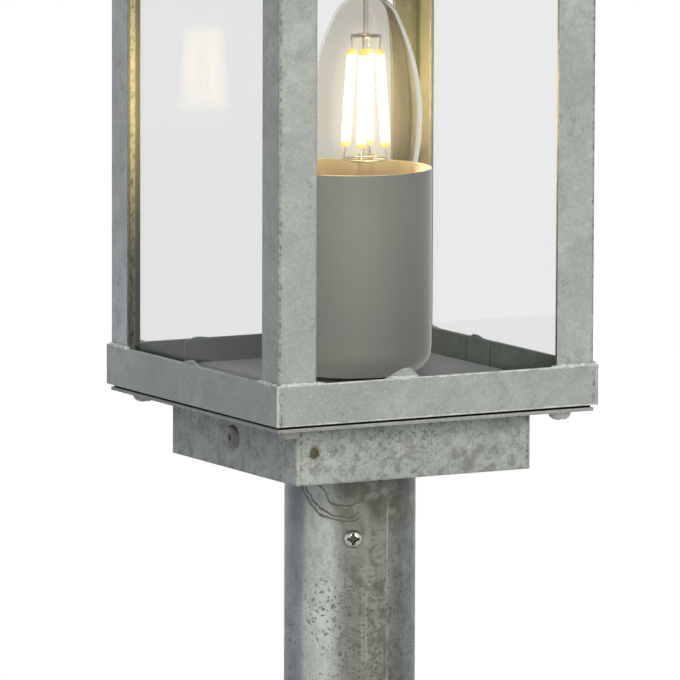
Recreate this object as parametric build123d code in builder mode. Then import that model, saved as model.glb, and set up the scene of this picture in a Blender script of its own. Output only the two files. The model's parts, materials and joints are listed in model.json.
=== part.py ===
"""Garden pedestal light: a glazed galvanised lantern on a round steel post.

Millimetres, +Z up, origin at the middle of the underside of the foot plate.
The lantern's wide front face looks along -Y and its left face along -X.
"""

import os
from math import cos, radians, sin

from build123d import *

os.makedirs("parts", exist_ok=True)

# Fits
slip = 0.3            # sliding or moving pieces that pass each other
thread_fit = 0.05     # a screw in its tapped hole, a bead on its tube
hole_room = 0.3       # room round a fastener in a plain hole, on the radius

# Foot plate
foot_side = 120.0
foot_thickness = 4.0
foot_corner = 6.0
anchor_spacing = 90.0
anchor_bore = 7.0
weld_leg = 3.5
grommet_bore = 9.0
grommet_wall = 3.0
grommet_flange = 2.5
grommet_flange_height = 1.6
grommet_recess = 0.6

# Post
post_diameter = 40.0
post_wall = 1.5
post_length = 274.4
spigot_wall = 2.0
spigot_length = 45.0
post_screw_drop = 21.0        # below the underside of the junction cover
post_screw_turn = -26.0       # degrees round the post, from -Y towards -X
post_screw_head = 5.6
post_screw_head_height = 2.0
post_screw_shank = 3.0
post_screw_length = 5.5

# Junction cover and the bracket inside it
cover_side = 80.8
cover_height = 18.5
cover_wall = 1.2
cover_flange = 8.0
cover_corner = 1.6
cover_lip = 0.8               # how far the cover hangs below its bracket
bracket_room = 0.5            # bracket to cover wall
bracket_thickness = 2.0
bracket_bore = 22.0
bracket_corner = 3.0
ear_width = 14.0
ear_thickness = 2.0
ear_above_screw = 5.0
side_screw_rise = 9.8         # above the cover's lower edge
side_screw_head = 7.4
side_screw_head_height = 1.3
side_screw_shank = 4.0
side_screw_length = 5.6
vent_bore = 3.2
vent_from_corner = 6.0
vent_rise = 9.6

# Mounting plate and gasket
plate_side = 108.0
plate_thickness = 1.0
gasket_thickness = 0.9
gasket_side = 106.6
gasket_width = 10.5
corner_screw_pitch = 93.0
corner_screw_head = 7.0
corner_screw_head_height = 3.2
corner_screw_shank = 3.4
corner_screw_length = 6.0

# Lantern cage
lantern_side = 110.0
cage_height = 190.0
rail_height = 12.3
rail_thickness = 1.0
angle_thickness = 1.2
angle_bend = 0.6
front_leg = 12.7              # legs of the two front posts that lie in the front face
side_leg = 10.4               # every other leg
pane_thickness = 3.0
pane_side_room = 0.4
pane_top_room = 3.0
tab_thickness = 1.5
tab_leg = 21.0
clip_thickness = 0.6
clip_width = 13.5
clip_crest = 2.2
clip_round = 1.0
clip_crest_shift = 2.0
clip_inner_height = 3.0
clip_room = 0.15
clip_places = {"front": -12.4, "back": -21.0, "left": 3.0, "right": 14.0}
clip_rises = {"front": 2.8, "back": 0.5, "left": 1.2, "right": 1.0}    # crests above the rails

# Roof
roof_sheet = 1.0
roof_room = 0.4
roof_skirt = 8.0
roof_border = 5.0
roof_rise = 11.0
roof_crown = 5.0

# Lantern floor and lamp cup
floor_lift = 5.5              # top of the floor above the rails' lower edge
floor_sheet = 1.0
floor_room = 1.5              # floor edge to the panes
floor_tab_room = 0.8          # floor corner to the corner tabs
plinth_side = 84.4
cup_diameter = 48.6
cup_height = 62.5
cup_wall = 1.0
cup_corner = 8.0
cup_lip = 0.4

# Lampholder, set off the middle of the cup
holder_offset = 4.6
holder_diameter = 35.4
holder_foot = 22.0
holder_taper = 8.0
holder_height = 42.0
holder_base = 3.5
holder_chamber_height = 11.5
holder_chamber_diameter = 22.0
holder_web = 4.0
holder_rivet = 6.0
shell_bore = 27.0
shell_wall = 0.5
shell_height = 20.0
shell_flange_bore = 17.0
shell_fit = 0.1
contact_sheet = 0.6
contact_width = 5.0
contact_reach = 4.2
nipple_diameter = 10.0
nipple_bore = 7.2
nipple_below = 8.0
nipple_in_holder = 8.5
nut_flats = 14.0
nut_height = 3.5
spacer_diameter = 16.0
washer_diameter = 20.0
washer_thickness = 1.5        # lifts the cup off the floor

# Terminal block and leads in the junction cover
block_length = 30.0
block_width = 16.0
block_height = 11.0
block_from_middle = 22.0
block_way = 9.0               # pitch of the three ways
block_bore = 2.6
block_bore_rise = 4.0
block_well = 4.0
block_well_depth = 3.5
block_screw = 3.4
block_screw_height = 2.6
lead_diameter = 2.0
lead_bend = 3.0
lead_pair = 1.6               # each lead from the nipple's axis
earth_screw_place = (23.0, -14.0)
earth_screw_head = 7.0
earth_screw_head_height = 2.4
earth_screw_shank = 3.8
earth_screw_length = 5.0

# Bulb, candle shape, on a 27 mm screw cap
bulb_diameter = 34.4
bulb_seat = 23.5              # foot of the bulb above the cup's floor
bulb_wall = 0.8
bulb_neck = 24.4
bulb_widest = 27.0            # above the cap's rim
bulb_shoulder = 20.7
bulb_shoulder_height = 57.0   # above the cap's rim
bulb_tip = 64.6               # above the cap's rim
bulb_tuck = 3.0               # glass inside the cap
cap_diameter = 26.2
cap_height = 20.5
cap_wall = 0.4
cap_floor = 0.6
insulator_height = 3.7
insulator_top = 23.0
insulator_foot = 13.0
foot_diameter = 9.6
foot_height = 1.8
stem_shoulder = 6.0
stem_height = 15.6
stem_neck = 5.0
rod_diameter = 1.6
rod_top = 63.2                # above the cap's rim, as are the four heights below
filament_low = 17.9
filament_high = 47.7
lower_ring_height = 14.2
upper_ring_height = 51.7
filament_low_circle = 12.5    # diameters of the circles that the filament ends lie on
filament_high_circle = 8.4
lower_ring_circle = 13.8
upper_ring_circle = 9.2
filament_diameter = 2.8
filament_round = 0.9           # rounding of a filament's two ends
filament_count = 4
filament_turn = -40.0
wire_diameter = 0.6
wire_end = 0.4                # bare wire between a filament's end and its solid core

# Heights worked out from the sizes above
foot_top = foot_thickness
tube_top = foot_top + post_length
bracket_top = tube_top + bracket_thickness
cover_bottom = tube_top - cover_lip
plate_bottom = cover_bottom + cover_height
plate_top = plate_bottom + plate_thickness
rail_bottom = plate_top + gasket_thickness
rail_top = rail_bottom + rail_height
cage_top = rail_bottom + cage_height
upper_rail_bottom = cage_top - rail_height
floor_top = rail_bottom + floor_lift
cup_bottom = floor_top + washer_thickness
cup_floor = cup_bottom + cup_wall
cup_rim = cup_bottom + cup_height
post_screw_height = cover_bottom - post_screw_drop
side_screw_height = cover_bottom + side_screw_rise
pane_bottom = rail_bottom + tab_thickness
pane_top = cage_top - pane_top_room
holder_top = cup_floor + holder_height
chamber_bottom = cup_floor + holder_base
chamber_top = chamber_bottom + holder_chamber_height
socket_floor = chamber_top + holder_web
foot_bottom = cup_floor + bulb_seat
insulator_bottom = foot_bottom + foot_height
cap_bottom = insulator_bottom + insulator_height
cap_rim = cap_bottom + cap_height

# Distances worked out from the sizes above
post_radius = post_diameter / 2
post_bore = post_radius - post_wall
spigot_radius = post_bore - slip
rail_inside = lantern_side / 2 - rail_thickness
pane_outside = rail_inside - angle_thickness
pane_inside = pane_outside - pane_thickness
screw_place = corner_screw_pitch / 2
cover_inside = cover_side / 2 - cover_wall
bracket_half = cover_inside - bracket_room
floor_half = pane_inside - floor_room
tab_edge = 2 * rail_inside - tab_leg          # x + y along a corner tab's free edge
grommet_hole = grommet_bore / 2 + grommet_wall
nipple_hole = nipple_diameter / 2 + hole_room

# Planes and axes that several pieces share
holder_axis = Axis((holder_offset, 0, 0), (0, 0, 1))
holder_plane = Plane((holder_offset, 0, 0), x_dir=(1, 0, 0), z_dir=(0, -1, 0))


def level(height):
    """A horizontal plane at a height."""
    return Plane.XY.offset(height)


def holder_level(height):
    """A horizontal plane centred on the lampholder's axis."""
    return Plane((holder_offset, 0, height))


def save(builder, label):
    """Names a finished piece and writes its file."""
    builder.part.label = label
    export_step(builder.part, f"parts/{label}.step")


def pan_screw(seat, head, head_height, shank, length):
    """A domed screw whose head stands on the seat plane, the shank going in below it."""
    side = Plane(seat.origin, x_dir=seat.x_dir, z_dir=-seat.y_dir)
    with BuildPart() as screw:
        with BuildSketch(side):
            with BuildLine():
                edge = (head / 2, head_height * 0.4)
                crown = (0, head_height)
                Polyline(crown, (0, -length), (shank / 2, -length), (shank / 2, 0), (head / 2, 0), edge)
                TangentArc(crown, edge, tangent=(1, 0))
            make_face()
        revolve(axis=Axis(seat.origin, seat.z_dir))
    return screw.part


def ring_piece(outer, inner, plane, height):
    """A plain tube, washer or bush standing on a plane."""
    with BuildPart() as ring:
        with BuildSketch(plane):
            Circle(outer)
            Circle(inner, mode=Mode.SUBTRACT)
        extrude(amount=height)
    return ring.part


# Foot plate with the bead that joins it to the post
with BuildPart() as foot_plate:
    with BuildSketch(level(0)):
        RectangleRounded(foot_side, foot_side, foot_corner)
        with GridLocations(anchor_spacing, anchor_spacing, 2, 2):
            Circle(anchor_bore / 2, mode=Mode.SUBTRACT)
        Circle(grommet_hole, mode=Mode.SUBTRACT)
    extrude(amount=foot_thickness)
    with BuildSketch(Plane.XZ):
        with BuildLine():
            bead_inside = post_radius + thread_fit
            bead_toe = (post_radius + weld_leg, foot_top)
            bead_top = (bead_inside, foot_top + weld_leg)
            Polyline(bead_top, (bead_inside, foot_top), bead_toe)
            RadiusArc(bead_toe, bead_top, -2 * weld_leg)
        make_face()
    revolve(axis=Axis.Z)
save(foot_plate, "foot_plate")

# Rubber bush that the supply cable comes up through
with BuildPart() as cable_grommet:
    with BuildSketch(Plane.XZ):
        with BuildLine():
            Polyline(
                (grommet_bore / 2, grommet_recess),
                (grommet_hole - thread_fit, grommet_recess),
                (grommet_hole - thread_fit, foot_top),
                (grommet_hole + grommet_flange, foot_top),
                (grommet_hole + grommet_flange, foot_top + grommet_flange_height),
                (grommet_bore / 2, foot_top + grommet_flange_height),
                close=True,
            )
        make_face()
    revolve(axis=Axis.Z)
save(cable_grommet, "cable_grommet")

# Post, its spigot and the two screws that hold them together
post_turn = radians(post_screw_turn)
post_out = Vector(sin(post_turn), -cos(post_turn), 0)
post_cross = Plane((0, 0, post_screw_height), x_dir=(0, 0, 1), z_dir=post_out)

with BuildPart() as post_tube:
    with BuildSketch(level(foot_top)):
        Circle(post_radius)
        Circle(post_bore, mode=Mode.SUBTRACT)
    extrude(amount=post_length)
    with BuildSketch(post_cross):
        Circle(post_screw_shank / 2 + hole_room)
    extrude(amount=post_diameter, both=True, mode=Mode.SUBTRACT)
save(post_tube, "post_tube")

with BuildPart() as post_spigot:
    with BuildSketch(level(tube_top - spigot_length)):
        Circle(spigot_radius)
        Circle(spigot_radius - spigot_wall, mode=Mode.SUBTRACT)
    extrude(amount=spigot_length)
    with BuildSketch(post_cross):
        Circle(post_screw_shank / 2 + thread_fit)
    extrude(amount=post_diameter, both=True, mode=Mode.SUBTRACT)
save(post_spigot, "post_spigot")

with BuildPart() as post_screws:
    for way in (1, -1):
        out = post_out * way
        seat = Plane(out * post_radius + Vector(0, 0, post_screw_height), x_dir=(0, 0, 1), z_dir=out)
        add(pan_screw(seat, post_screw_head, post_screw_head_height, post_screw_shank, post_screw_length))
save(post_screws, "post_screws")

# Bracket on the spigot, with an ear for each side screw
with BuildPart() as top_bracket:
    with BuildSketch(level(tube_top)):
        RectangleRounded(2 * bracket_half, 2 * bracket_half, bracket_corner)
        Circle(bracket_bore / 2, mode=Mode.SUBTRACT)
        with Locations(earth_screw_place):
            Circle(earth_screw_shank / 2 + thread_fit, mode=Mode.SUBTRACT)
    extrude(amount=bracket_thickness)
    ear_top = side_screw_height + ear_above_screw
    with BuildSketch(Plane.XZ):
        for way in (1, -1):
            with Locations((way * (bracket_half - ear_thickness / 2), (bracket_top + ear_top) / 2)):
                Rectangle(ear_thickness, ear_top - bracket_top)
    extrude(amount=ear_width / 2, both=True)
    with BuildSketch(Plane.YZ):
        with Locations((0, side_screw_height)):
            Circle(side_screw_shank / 2 + thread_fit)
    extrude(amount=cover_side, both=True, mode=Mode.SUBTRACT)
save(top_bracket, "top_bracket")

# Junction cover: a folded square sleeve with a flange that carries the mounting plate
with BuildPart() as junction_cover:
    with BuildSketch(level(cover_bottom)):
        RectangleRounded(cover_side, cover_side, cover_corner)
    extrude(amount=cover_height)
    with BuildSketch(level(cover_bottom)):
        Rectangle(2 * cover_inside, 2 * cover_inside)
    extrude(amount=cover_height - cover_wall, mode=Mode.SUBTRACT)
    with BuildSketch(level(cover_bottom)):
        Rectangle(2 * (cover_inside - cover_flange), 2 * (cover_inside - cover_flange))
    extrude(amount=cover_height, mode=Mode.SUBTRACT)
    with BuildSketch(Plane.YZ):
        with Locations((0, side_screw_height)):
            Circle(side_screw_shank / 2 + hole_room)
    extrude(amount=cover_side, both=True, mode=Mode.SUBTRACT)
    vent_place = cover_side / 2 - vent_from_corner
    for way in (1, -1):
        wall = Plane((0, -way * cover_side / 2, 0), x_dir=(1, 0, 0), z_dir=(0, way, 0))
        with BuildSketch(wall):
            with Locations((-way * vent_place, -way * (cover_bottom + vent_rise))):
                Circle(vent_bore / 2)
        extrude(amount=2 * cover_wall, mode=Mode.SUBTRACT)
save(junction_cover, "junction_cover")

with BuildPart() as side_screws:
    for way in (1, -1):
        seat = Plane((way * cover_side / 2, 0, side_screw_height), x_dir=(0, 1, 0), z_dir=(way, 0, 0))
        add(pan_screw(seat, side_screw_head, side_screw_head_height, side_screw_shank, side_screw_length))
save(side_screws, "side_screws")

# Mounting plate, gasket and the four screws that hold the lantern down
with BuildPart() as mounting_plate:
    with BuildSketch(level(plate_bottom)):
        Rectangle(plate_side, plate_side)
        with GridLocations(corner_screw_pitch, corner_screw_pitch, 2, 2):
            Circle(corner_screw_shank / 2 + hole_room, mode=Mode.SUBTRACT)
        with Locations((holder_offset, 0)):
            Circle(nipple_hole, mode=Mode.SUBTRACT)
    extrude(amount=plate_thickness)
save(mounting_plate, "mounting_plate")

with BuildPart() as base_gasket:
    with BuildSketch(level(plate_top)):
        Rectangle(gasket_side, gasket_side)
        Rectangle(gasket_side - 2 * gasket_width, gasket_side - 2 * gasket_width, mode=Mode.SUBTRACT)
        with GridLocations(corner_screw_pitch, corner_screw_pitch, 2, 2):
            Circle(corner_screw_shank / 2 + hole_room, mode=Mode.SUBTRACT)
    extrude(amount=gasket_thickness)
save(base_gasket, "base_gasket")

with BuildPart() as corner_screws:
    for x in (-screw_place, screw_place):
        for y in (-screw_place, screw_place):
            seat = Plane((x, y, plate_bottom), x_dir=(1, 0, 0), z_dir=(0, 0, -1))
            add(pan_screw(seat, corner_screw_head, corner_screw_head_height, corner_screw_shank,
                          corner_screw_length))
save(corner_screws, "corner_screws")

# Lantern floor: a square sheet with cut corners on a square plinth
floor_bottom = floor_top - floor_sheet
floor_cut = 2 * floor_half - (tab_edge - floor_tab_room * 2**0.5)
with BuildPart() as floor_pan:
    with BuildSketch(level(floor_bottom)):
        Rectangle(2 * floor_half, 2 * floor_half)
        chamfer(vertices(), floor_cut)
        with Locations((holder_offset, 0)):
            Circle(nipple_hole, mode=Mode.SUBTRACT)
    extrude(amount=floor_sheet)
    with BuildSketch(level(plate_top)):
        Rectangle(plinth_side, plinth_side)
        Rectangle(plinth_side - 2 * floor_sheet, plinth_side - 2 * floor_sheet, mode=Mode.SUBTRACT)
    extrude(amount=floor_bottom - plate_top)
save(floor_pan, "floor_pan")


def cup_outline(radius, corner, bottom, top):
    """Half section of a round-bottomed cup, from its axis outwards."""
    with BuildSketch() as outline:
        with BuildLine():
            Line((0, top), (0, bottom))
            Line((0, bottom), (radius - corner, bottom))
            RadiusArc((radius - corner, bottom), (radius, bottom + corner), -corner)
            Line((radius, bottom + corner), (radius, top))
            Line((radius, top), (0, top))
        make_face()
    return outline.sketch


# Lamp cup, drawn from one sheet
with BuildPart() as lamp_cup:
    with BuildSketch(Plane.XZ):
        add(cup_outline(cup_diameter / 2, cup_corner, cup_bottom, cup_rim))
        add(cup_outline(cup_diameter / 2 - cup_wall, cup_corner - cup_wall, cup_floor, cup_rim),
            mode=Mode.SUBTRACT)
    revolve(axis=Axis.Z)
    fillet(edges().group_by(Axis.Z)[-1], cup_lip)
    with BuildSketch(holder_level(cup_bottom)):
        Circle(nipple_hole)
    extrude(amount=cup_wall, mode=Mode.SUBTRACT)
save(lamp_cup, "lamp_cup")

# Lampholder body, screw shell and sprung centre contact
with BuildPart() as lampholder_body:
    with BuildSketch(holder_plane):
        with BuildLine():
            socket_radius = shell_bore / 2 + shell_wall + shell_fit
            rivet_radius = holder_rivet / 2 + shell_fit
            chamber_radius = holder_chamber_diameter / 2
            stud_radius = nipple_diameter / 2 + thread_fit
            Polyline(
                (stud_radius, cup_floor),
                (holder_foot / 2, cup_floor),
                (holder_diameter / 2, cup_floor + holder_taper),
                (holder_diameter / 2, holder_top),
                (socket_radius, holder_top),
                (socket_radius, socket_floor),
                (rivet_radius, socket_floor),
                (rivet_radius, chamber_top),
                (chamber_radius, chamber_top),
                (chamber_radius, chamber_bottom),
                (stud_radius, chamber_bottom),
                close=True,
            )
        make_face()
    revolve(axis=holder_axis)
save(lampholder_body, "lampholder_body")

with BuildPart() as lampholder_shell:
    with BuildSketch(holder_plane):
        with BuildLine():
            Polyline(
                (shell_flange_bore / 2, socket_floor),
                (shell_bore / 2 + shell_wall, socket_floor),
                (shell_bore / 2 + shell_wall, socket_floor + shell_height),
                (shell_bore / 2, socket_floor + shell_height),
                (shell_bore / 2, socket_floor + shell_wall),
                (shell_flange_bore / 2, socket_floor + shell_wall),
                close=True,
            )
        make_face()
    revolve(axis=holder_axis)
save(lampholder_shell, "lampholder_shell")

contact_tip = foot_bottom - slip
contact_knee = (socket_floor + contact_tip) / 2
with BuildPart() as centre_contact:
    with BuildSketch(holder_plane):
        with BuildLine():
            Polyline(
                (-contact_reach, socket_floor),
                (contact_reach, socket_floor),
                (contact_reach, contact_knee),
                (-contact_reach / 2, contact_tip),
                (-contact_reach / 2, contact_tip - contact_sheet),
                (contact_reach - contact_sheet, contact_knee - contact_sheet / 2),
                (contact_reach - contact_sheet, socket_floor + contact_sheet),
                (-contact_reach, socket_floor + contact_sheet),
                close=True,
            )
        make_face()
    extrude(amount=contact_width / 2, both=True)
    with BuildSketch(holder_level(chamber_top - contact_sheet)):
        Circle(holder_rivet / 2)
    extrude(amount=holder_web + contact_sheet)
save(centre_contact, "centre_contact")

# Hollow threaded nipple, its nuts, the spacer under the floor and the washer on it
nipple_bottom = plate_bottom - nipple_below
nipple_top = cup_floor + nipple_in_holder
with BuildPart() as threaded_nipple:
    add(ring_piece(nipple_diameter / 2, nipple_bore / 2, holder_level(nipple_bottom), nipple_top - nipple_bottom))
save(threaded_nipple, "threaded_nipple")

with BuildPart() as nipple_nuts:
    for bottom in (plate_bottom - nut_height, chamber_bottom):
        with BuildSketch(holder_level(bottom)):
            RegularPolygon(nut_flats / 2, 6, major_radius=False)
            Circle(nipple_diameter / 2 + thread_fit, mode=Mode.SUBTRACT)
        extrude(amount=nut_height)
save(nipple_nuts, "nipple_nuts")

with BuildPart() as nipple_spacer:
    add(ring_piece(spacer_diameter / 2, nipple_hole, holder_level(plate_top), floor_bottom - plate_top))
    add(ring_piece(washer_diameter / 2, nipple_hole, holder_level(floor_top), washer_thickness))
save(nipple_spacer, "nipple_spacer")

# Terminal block with three ways
way_places = (-block_way, 0.0, block_way)
block_top = bracket_top + block_height
bore_height = bracket_top + block_bore_rise
with BuildPart() as terminal_block:
    with BuildSketch(level(bracket_top)):
        with Locations((0, block_from_middle)):
            Rectangle(block_length, block_width)
    extrude(amount=block_height)
    with BuildSketch(Plane.XZ.offset(-block_from_middle)):
        with Locations(*[(x, bore_height) for x in way_places]):
            Circle(block_bore / 2)
    extrude(amount=block_width, both=True, mode=Mode.SUBTRACT)
    with BuildSketch(level(block_top - block_well_depth)):
        with Locations(*[(x, block_from_middle) for x in way_places]):
            Circle(block_well / 2)
    extrude(amount=block_well_depth, mode=Mode.SUBTRACT)
save(terminal_block, "terminal_block")

with BuildPart() as terminal_screws:
    with BuildSketch(level(block_top - block_well_depth)):
        with Locations(*[(x, block_from_middle) for x in way_places]):
            Circle(block_screw / 2)
    extrude(amount=block_screw_height)
save(terminal_screws, "terminal_screws")


def lead_along(points):
    """A round insulated lead that follows straight runs with rounded turns."""
    with BuildPart() as lead:
        with BuildLine() as route:
            FilletPolyline(*points, radius=lead_bend)
        start = route.line @ 0
        along = route.line % 0
        with BuildSketch(Plane(start, z_dir=along)):
            Circle(lead_diameter / 2)
        sweep(path=route.line)
    return lead.part


# Leads: two go up the nipple to the lampholder, one earths the bracket
lead_start = block_from_middle
lead_bend_place = block_from_middle - block_width / 2 - 2 * lead_bend
lead_end = chamber_top - 2 * contact_sheet
with BuildPart() as live_lead:
    add(lead_along([
        (way_places[0], lead_start, bore_height),
        (way_places[0], lead_bend_place, bore_height),
        (holder_offset - lead_pair, 0, bore_height),
        (holder_offset - lead_pair, 0, lead_end),
    ]))
save(live_lead, "live_lead")

with BuildPart() as neutral_lead:
    add(lead_along([
        (way_places[1], lead_start, bore_height),
        (way_places[1], lead_bend_place, bore_height),
        (holder_offset + lead_pair, 0, bore_height),
        (holder_offset + lead_pair, 0, lead_end),
    ]))
save(neutral_lead, "neutral_lead")

earth_x, earth_y = earth_screw_place
with BuildPart() as earth_lead:
    add(lead_along([
        (way_places[2], lead_start, bore_height),
        (way_places[2], lead_bend_place, bore_height),
        (earth_x, lead_bend_place - 2 * lead_bend, bore_height),
        (earth_x, earth_y + earth_screw_shank, bore_height),
    ]))
save(earth_lead, "earth_lead")

with BuildPart() as earth_screw:
    head_seat = Plane((earth_x, earth_y, bracket_top), x_dir=(1, 0, 0))
    add(pan_screw(head_seat, earth_screw_head, earth_screw_head_height, earth_screw_shank, earth_screw_length))
save(earth_screw, "earth_screw")

# Lantern faces, each with a plane whose x runs along the face and whose z looks out of it
face_planes = {
    "front": Plane((0, 0, 0), x_dir=(1, 0, 0), z_dir=(0, -1, 0)),
    "back": Plane((0, 0, 0), x_dir=(-1, 0, 0), z_dir=(0, 1, 0)),
    "left": Plane((0, 0, 0), x_dir=(0, -1, 0), z_dir=(-1, 0, 0)),
    "right": Plane((0, 0, 0), x_dir=(0, 1, 0), z_dir=(1, 0, 0)),
}
face_flip = {"front": 1, "back": -1, "left": -1, "right": 1}


def rail_on(face, bottom):
    """One mitred rail of a square frame, its outline drawn from above."""
    outward = face_planes[face].z_dir
    along = face_planes[face].x_dir
    plan = Plane((0, 0, bottom), x_dir=along, z_dir=(0, 0, 1))
    side = 1 if plan.y_dir.dot(outward) > 0 else -1
    outer = lantern_side / 2
    with BuildPart() as rail:
        with BuildSketch(plan):
            with BuildLine():
                Polyline(
                    (-outer, side * outer),
                    (outer, side * outer),
                    (rail_inside, side * rail_inside),
                    (-rail_inside, side * rail_inside),
                    close=True,
                )
            make_face()
        extrude(amount=rail_height)
    return rail.part


for face in face_planes:
    with BuildPart() as lower_rail:
        add(rail_on(face, rail_bottom))
    save(lower_rail, f"lower_rail_{face}")
    with BuildPart() as upper_rail:
        add(rail_on(face, upper_rail_bottom))
    save(upper_rail, f"upper_rail_{face}")

# Corner tabs, which the four corner screws enter
with BuildPart() as corner_tabs:
    for x_way in (-1, 1):
        for y_way in (-1, 1):
            with BuildSketch(level(rail_bottom)):
                with BuildLine():
                    Polyline(
                        (x_way * rail_inside, y_way * rail_inside),
                        (x_way * (rail_inside - tab_leg), y_way * rail_inside),
                        (x_way * rail_inside, y_way * (rail_inside - tab_leg)),
                        close=True,
                    )
                make_face()
                with Locations((x_way * screw_place, y_way * screw_place)):
                    Circle(corner_screw_shank / 2 + hole_room, mode=Mode.SUBTRACT)
            extrude(amount=tab_thickness)
save(corner_tabs, "corner_tabs")

# Corner posts, folded angles standing on the tabs
corner_names = {
    "front_left": (-1, -1, front_leg),
    "front_right": (1, -1, front_leg),
    "back_left": (-1, 1, side_leg),
    "back_right": (1, 1, side_leg),
}
for corner_name, (x_way, y_way, leg_along_x) in corner_names.items():
    corner_x = x_way * rail_inside
    corner_y = y_way * rail_inside
    with BuildPart() as corner_post:
        with BuildSketch(level(pane_bottom)):
            with BuildLine():
                Polyline(
                    (corner_x, corner_y),
                    (corner_x - x_way * leg_along_x, corner_y),
                    (corner_x - x_way * leg_along_x, corner_y - y_way * angle_thickness),
                    (corner_x - x_way * angle_thickness, corner_y - y_way * angle_thickness),
                    (corner_x - x_way * angle_thickness, corner_y - y_way * side_leg),
                    (corner_x, corner_y - y_way * side_leg),
                    close=True,
                )
            make_face()
            fold = vertices().sort_by_distance((corner_x, corner_y, 0))[0]
            fillet(fold, angle_bend)
        extrude(amount=cage_top - pane_bottom)
    save(corner_post, f"corner_post_{corner_name}")

# Glass: front and back panes run the full width, the side panes stand between them
pane_spans = {
    "front": 2 * (pane_outside - pane_side_room),
    "back": 2 * (pane_outside - pane_side_room),
    "left": 2 * (pane_inside - pane_side_room),
    "right": 2 * (pane_inside - pane_side_room),
}
for face, face_plane in face_planes.items():
    with BuildPart() as glass_pane:
        with BuildSketch(face_plane.offset(pane_inside)):
            with Locations((0, (pane_bottom + pane_top) / 2)):
                Rectangle(pane_spans[face], pane_top - pane_bottom)
        extrude(amount=pane_thickness)
    save(glass_pane, f"glass_pane_{face}")


def glass_clip(face, shift, upward):
    """A folded clip that holds one pane's edge and is joined to the rail behind it.

    Upward clips stand in the lower frame with a pointed outer leg; the others hang in the upper frame.
    """
    face_plane = face_planes[face]
    flip = 1 if upward else -1
    edge = pane_bottom - clip_room if upward else pane_top + clip_room
    outer_end = rail_top + clip_rises[face] if upward else upper_rail_bottom
    shoulder = rail_top - clip_thickness if upward else upper_rail_bottom
    inner_end = edge + flip * clip_inner_height
    web_far = edge - flip * clip_thickness
    half = clip_width / 2
    with BuildPart() as clip:
        with BuildSketch(face_plane.offset(rail_inside - clip_thickness)):
            with BuildLine():
                if upward:
                    Polyline(
                        (shift - half, web_far),
                        (shift + half, web_far),
                        (shift + half, shoulder),
                        (shift + clip_crest_shift + clip_crest / 2, outer_end),
                        (shift + clip_crest_shift - clip_crest / 2, outer_end),
                        (shift - half, shoulder),
                        close=True,
                    )
                else:
                    Polyline(
                        (shift - half, web_far),
                        (shift + half, web_far),
                        (shift + half, shoulder),
                        (shift - half, shoulder),
                        close=True,
                    )
            make_face()
            if upward:
                fillet(vertices().group_by(Axis.Y)[-1], clip_round)
        extrude(amount=clip_thickness)
        inner_face = pane_inside - clip_room - clip_thickness
        with BuildSketch(face_plane.offset(inner_face)):
            with Locations((shift, (web_far + inner_end) / 2)):
                Rectangle(clip_width, abs(inner_end - web_far))
        extrude(amount=clip_thickness)
        with BuildSketch(face_plane.offset(inner_face)):
            with Locations((shift, (web_far + edge) / 2)):
                Rectangle(clip_width, clip_thickness)
        extrude(amount=rail_inside - inner_face)
    return clip.part


with BuildPart() as lower_glass_clips:
    for face, place in clip_places.items():
        add(glass_clip(face, face_flip[face] * place, True))
save(lower_glass_clips, "lower_glass_clips")

with BuildPart() as upper_glass_clips:
    for face in face_planes:
        add(glass_clip(face, 0.0, False))
save(upper_glass_clips, "upper_glass_clips")

# Roof: a low hipped cap with a flat border on the upper rails and a skirt round them
skirt_inside = lantern_side / 2 + roof_room
roof_half = skirt_inside + roof_sheet
hip_half = lantern_side / 2 - roof_border
with BuildPart() as roof_cap:
    with BuildSketch(level(cage_top - roof_skirt)):
        Rectangle(2 * roof_half, 2 * roof_half)
    extrude(amount=roof_skirt + roof_sheet)
    with BuildSketch(level(cage_top - roof_skirt)):
        Rectangle(2 * skirt_inside, 2 * skirt_inside)
    extrude(amount=roof_skirt, mode=Mode.SUBTRACT)
    with BuildSketch(level(cage_top + roof_sheet)):
        Rectangle(2 * hip_half, 2 * hip_half)
    with BuildSketch(level(cage_top + roof_sheet + roof_rise)):
        Rectangle(roof_crown, roof_crown)
    loft(ruled=True)
    with BuildSketch(level(cage_top)):
        Rectangle(2 * hip_half, 2 * hip_half)
    with BuildSketch(level(cage_top + roof_rise)):
        Rectangle(roof_crown, roof_crown)
    loft(ruled=True, mode=Mode.SUBTRACT)
save(roof_cap, "roof_cap")

# Bulb: glass envelope, cap, insulator and foot contact
widest = cap_rim + bulb_widest
tip = cap_rim + bulb_tip


def envelope_outline(inset):
    """Half section of the candle-shaped glass, drawn in by a wall's thickness."""
    neck = (bulb_neck / 2 - inset, cap_rim)
    belly = (bulb_diameter / 2 - inset, widest)
    shoulder = (bulb_shoulder / 2 - inset, cap_rim + bulb_shoulder_height)
    point = (0, tip - inset)
    foot = cap_rim - bulb_tuck
    with BuildSketch() as outline:
        with BuildLine():
            Polyline(point, (0, foot), (neck[0], foot), neck)
            TangentArc(belly, neck, tangent=(0, -1))
            TangentArc(belly, shoulder, tangent=(0, 1))
            TangentArc(point, shoulder, tangent=(1, 0))
        make_face()
    return outline.sketch


with BuildPart() as bulb_envelope:
    with BuildSketch(holder_plane):
        add(envelope_outline(0.0))
        add(envelope_outline(bulb_wall), mode=Mode.SUBTRACT)
    revolve(axis=holder_axis)
save(bulb_envelope, "bulb_envelope")

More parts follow.
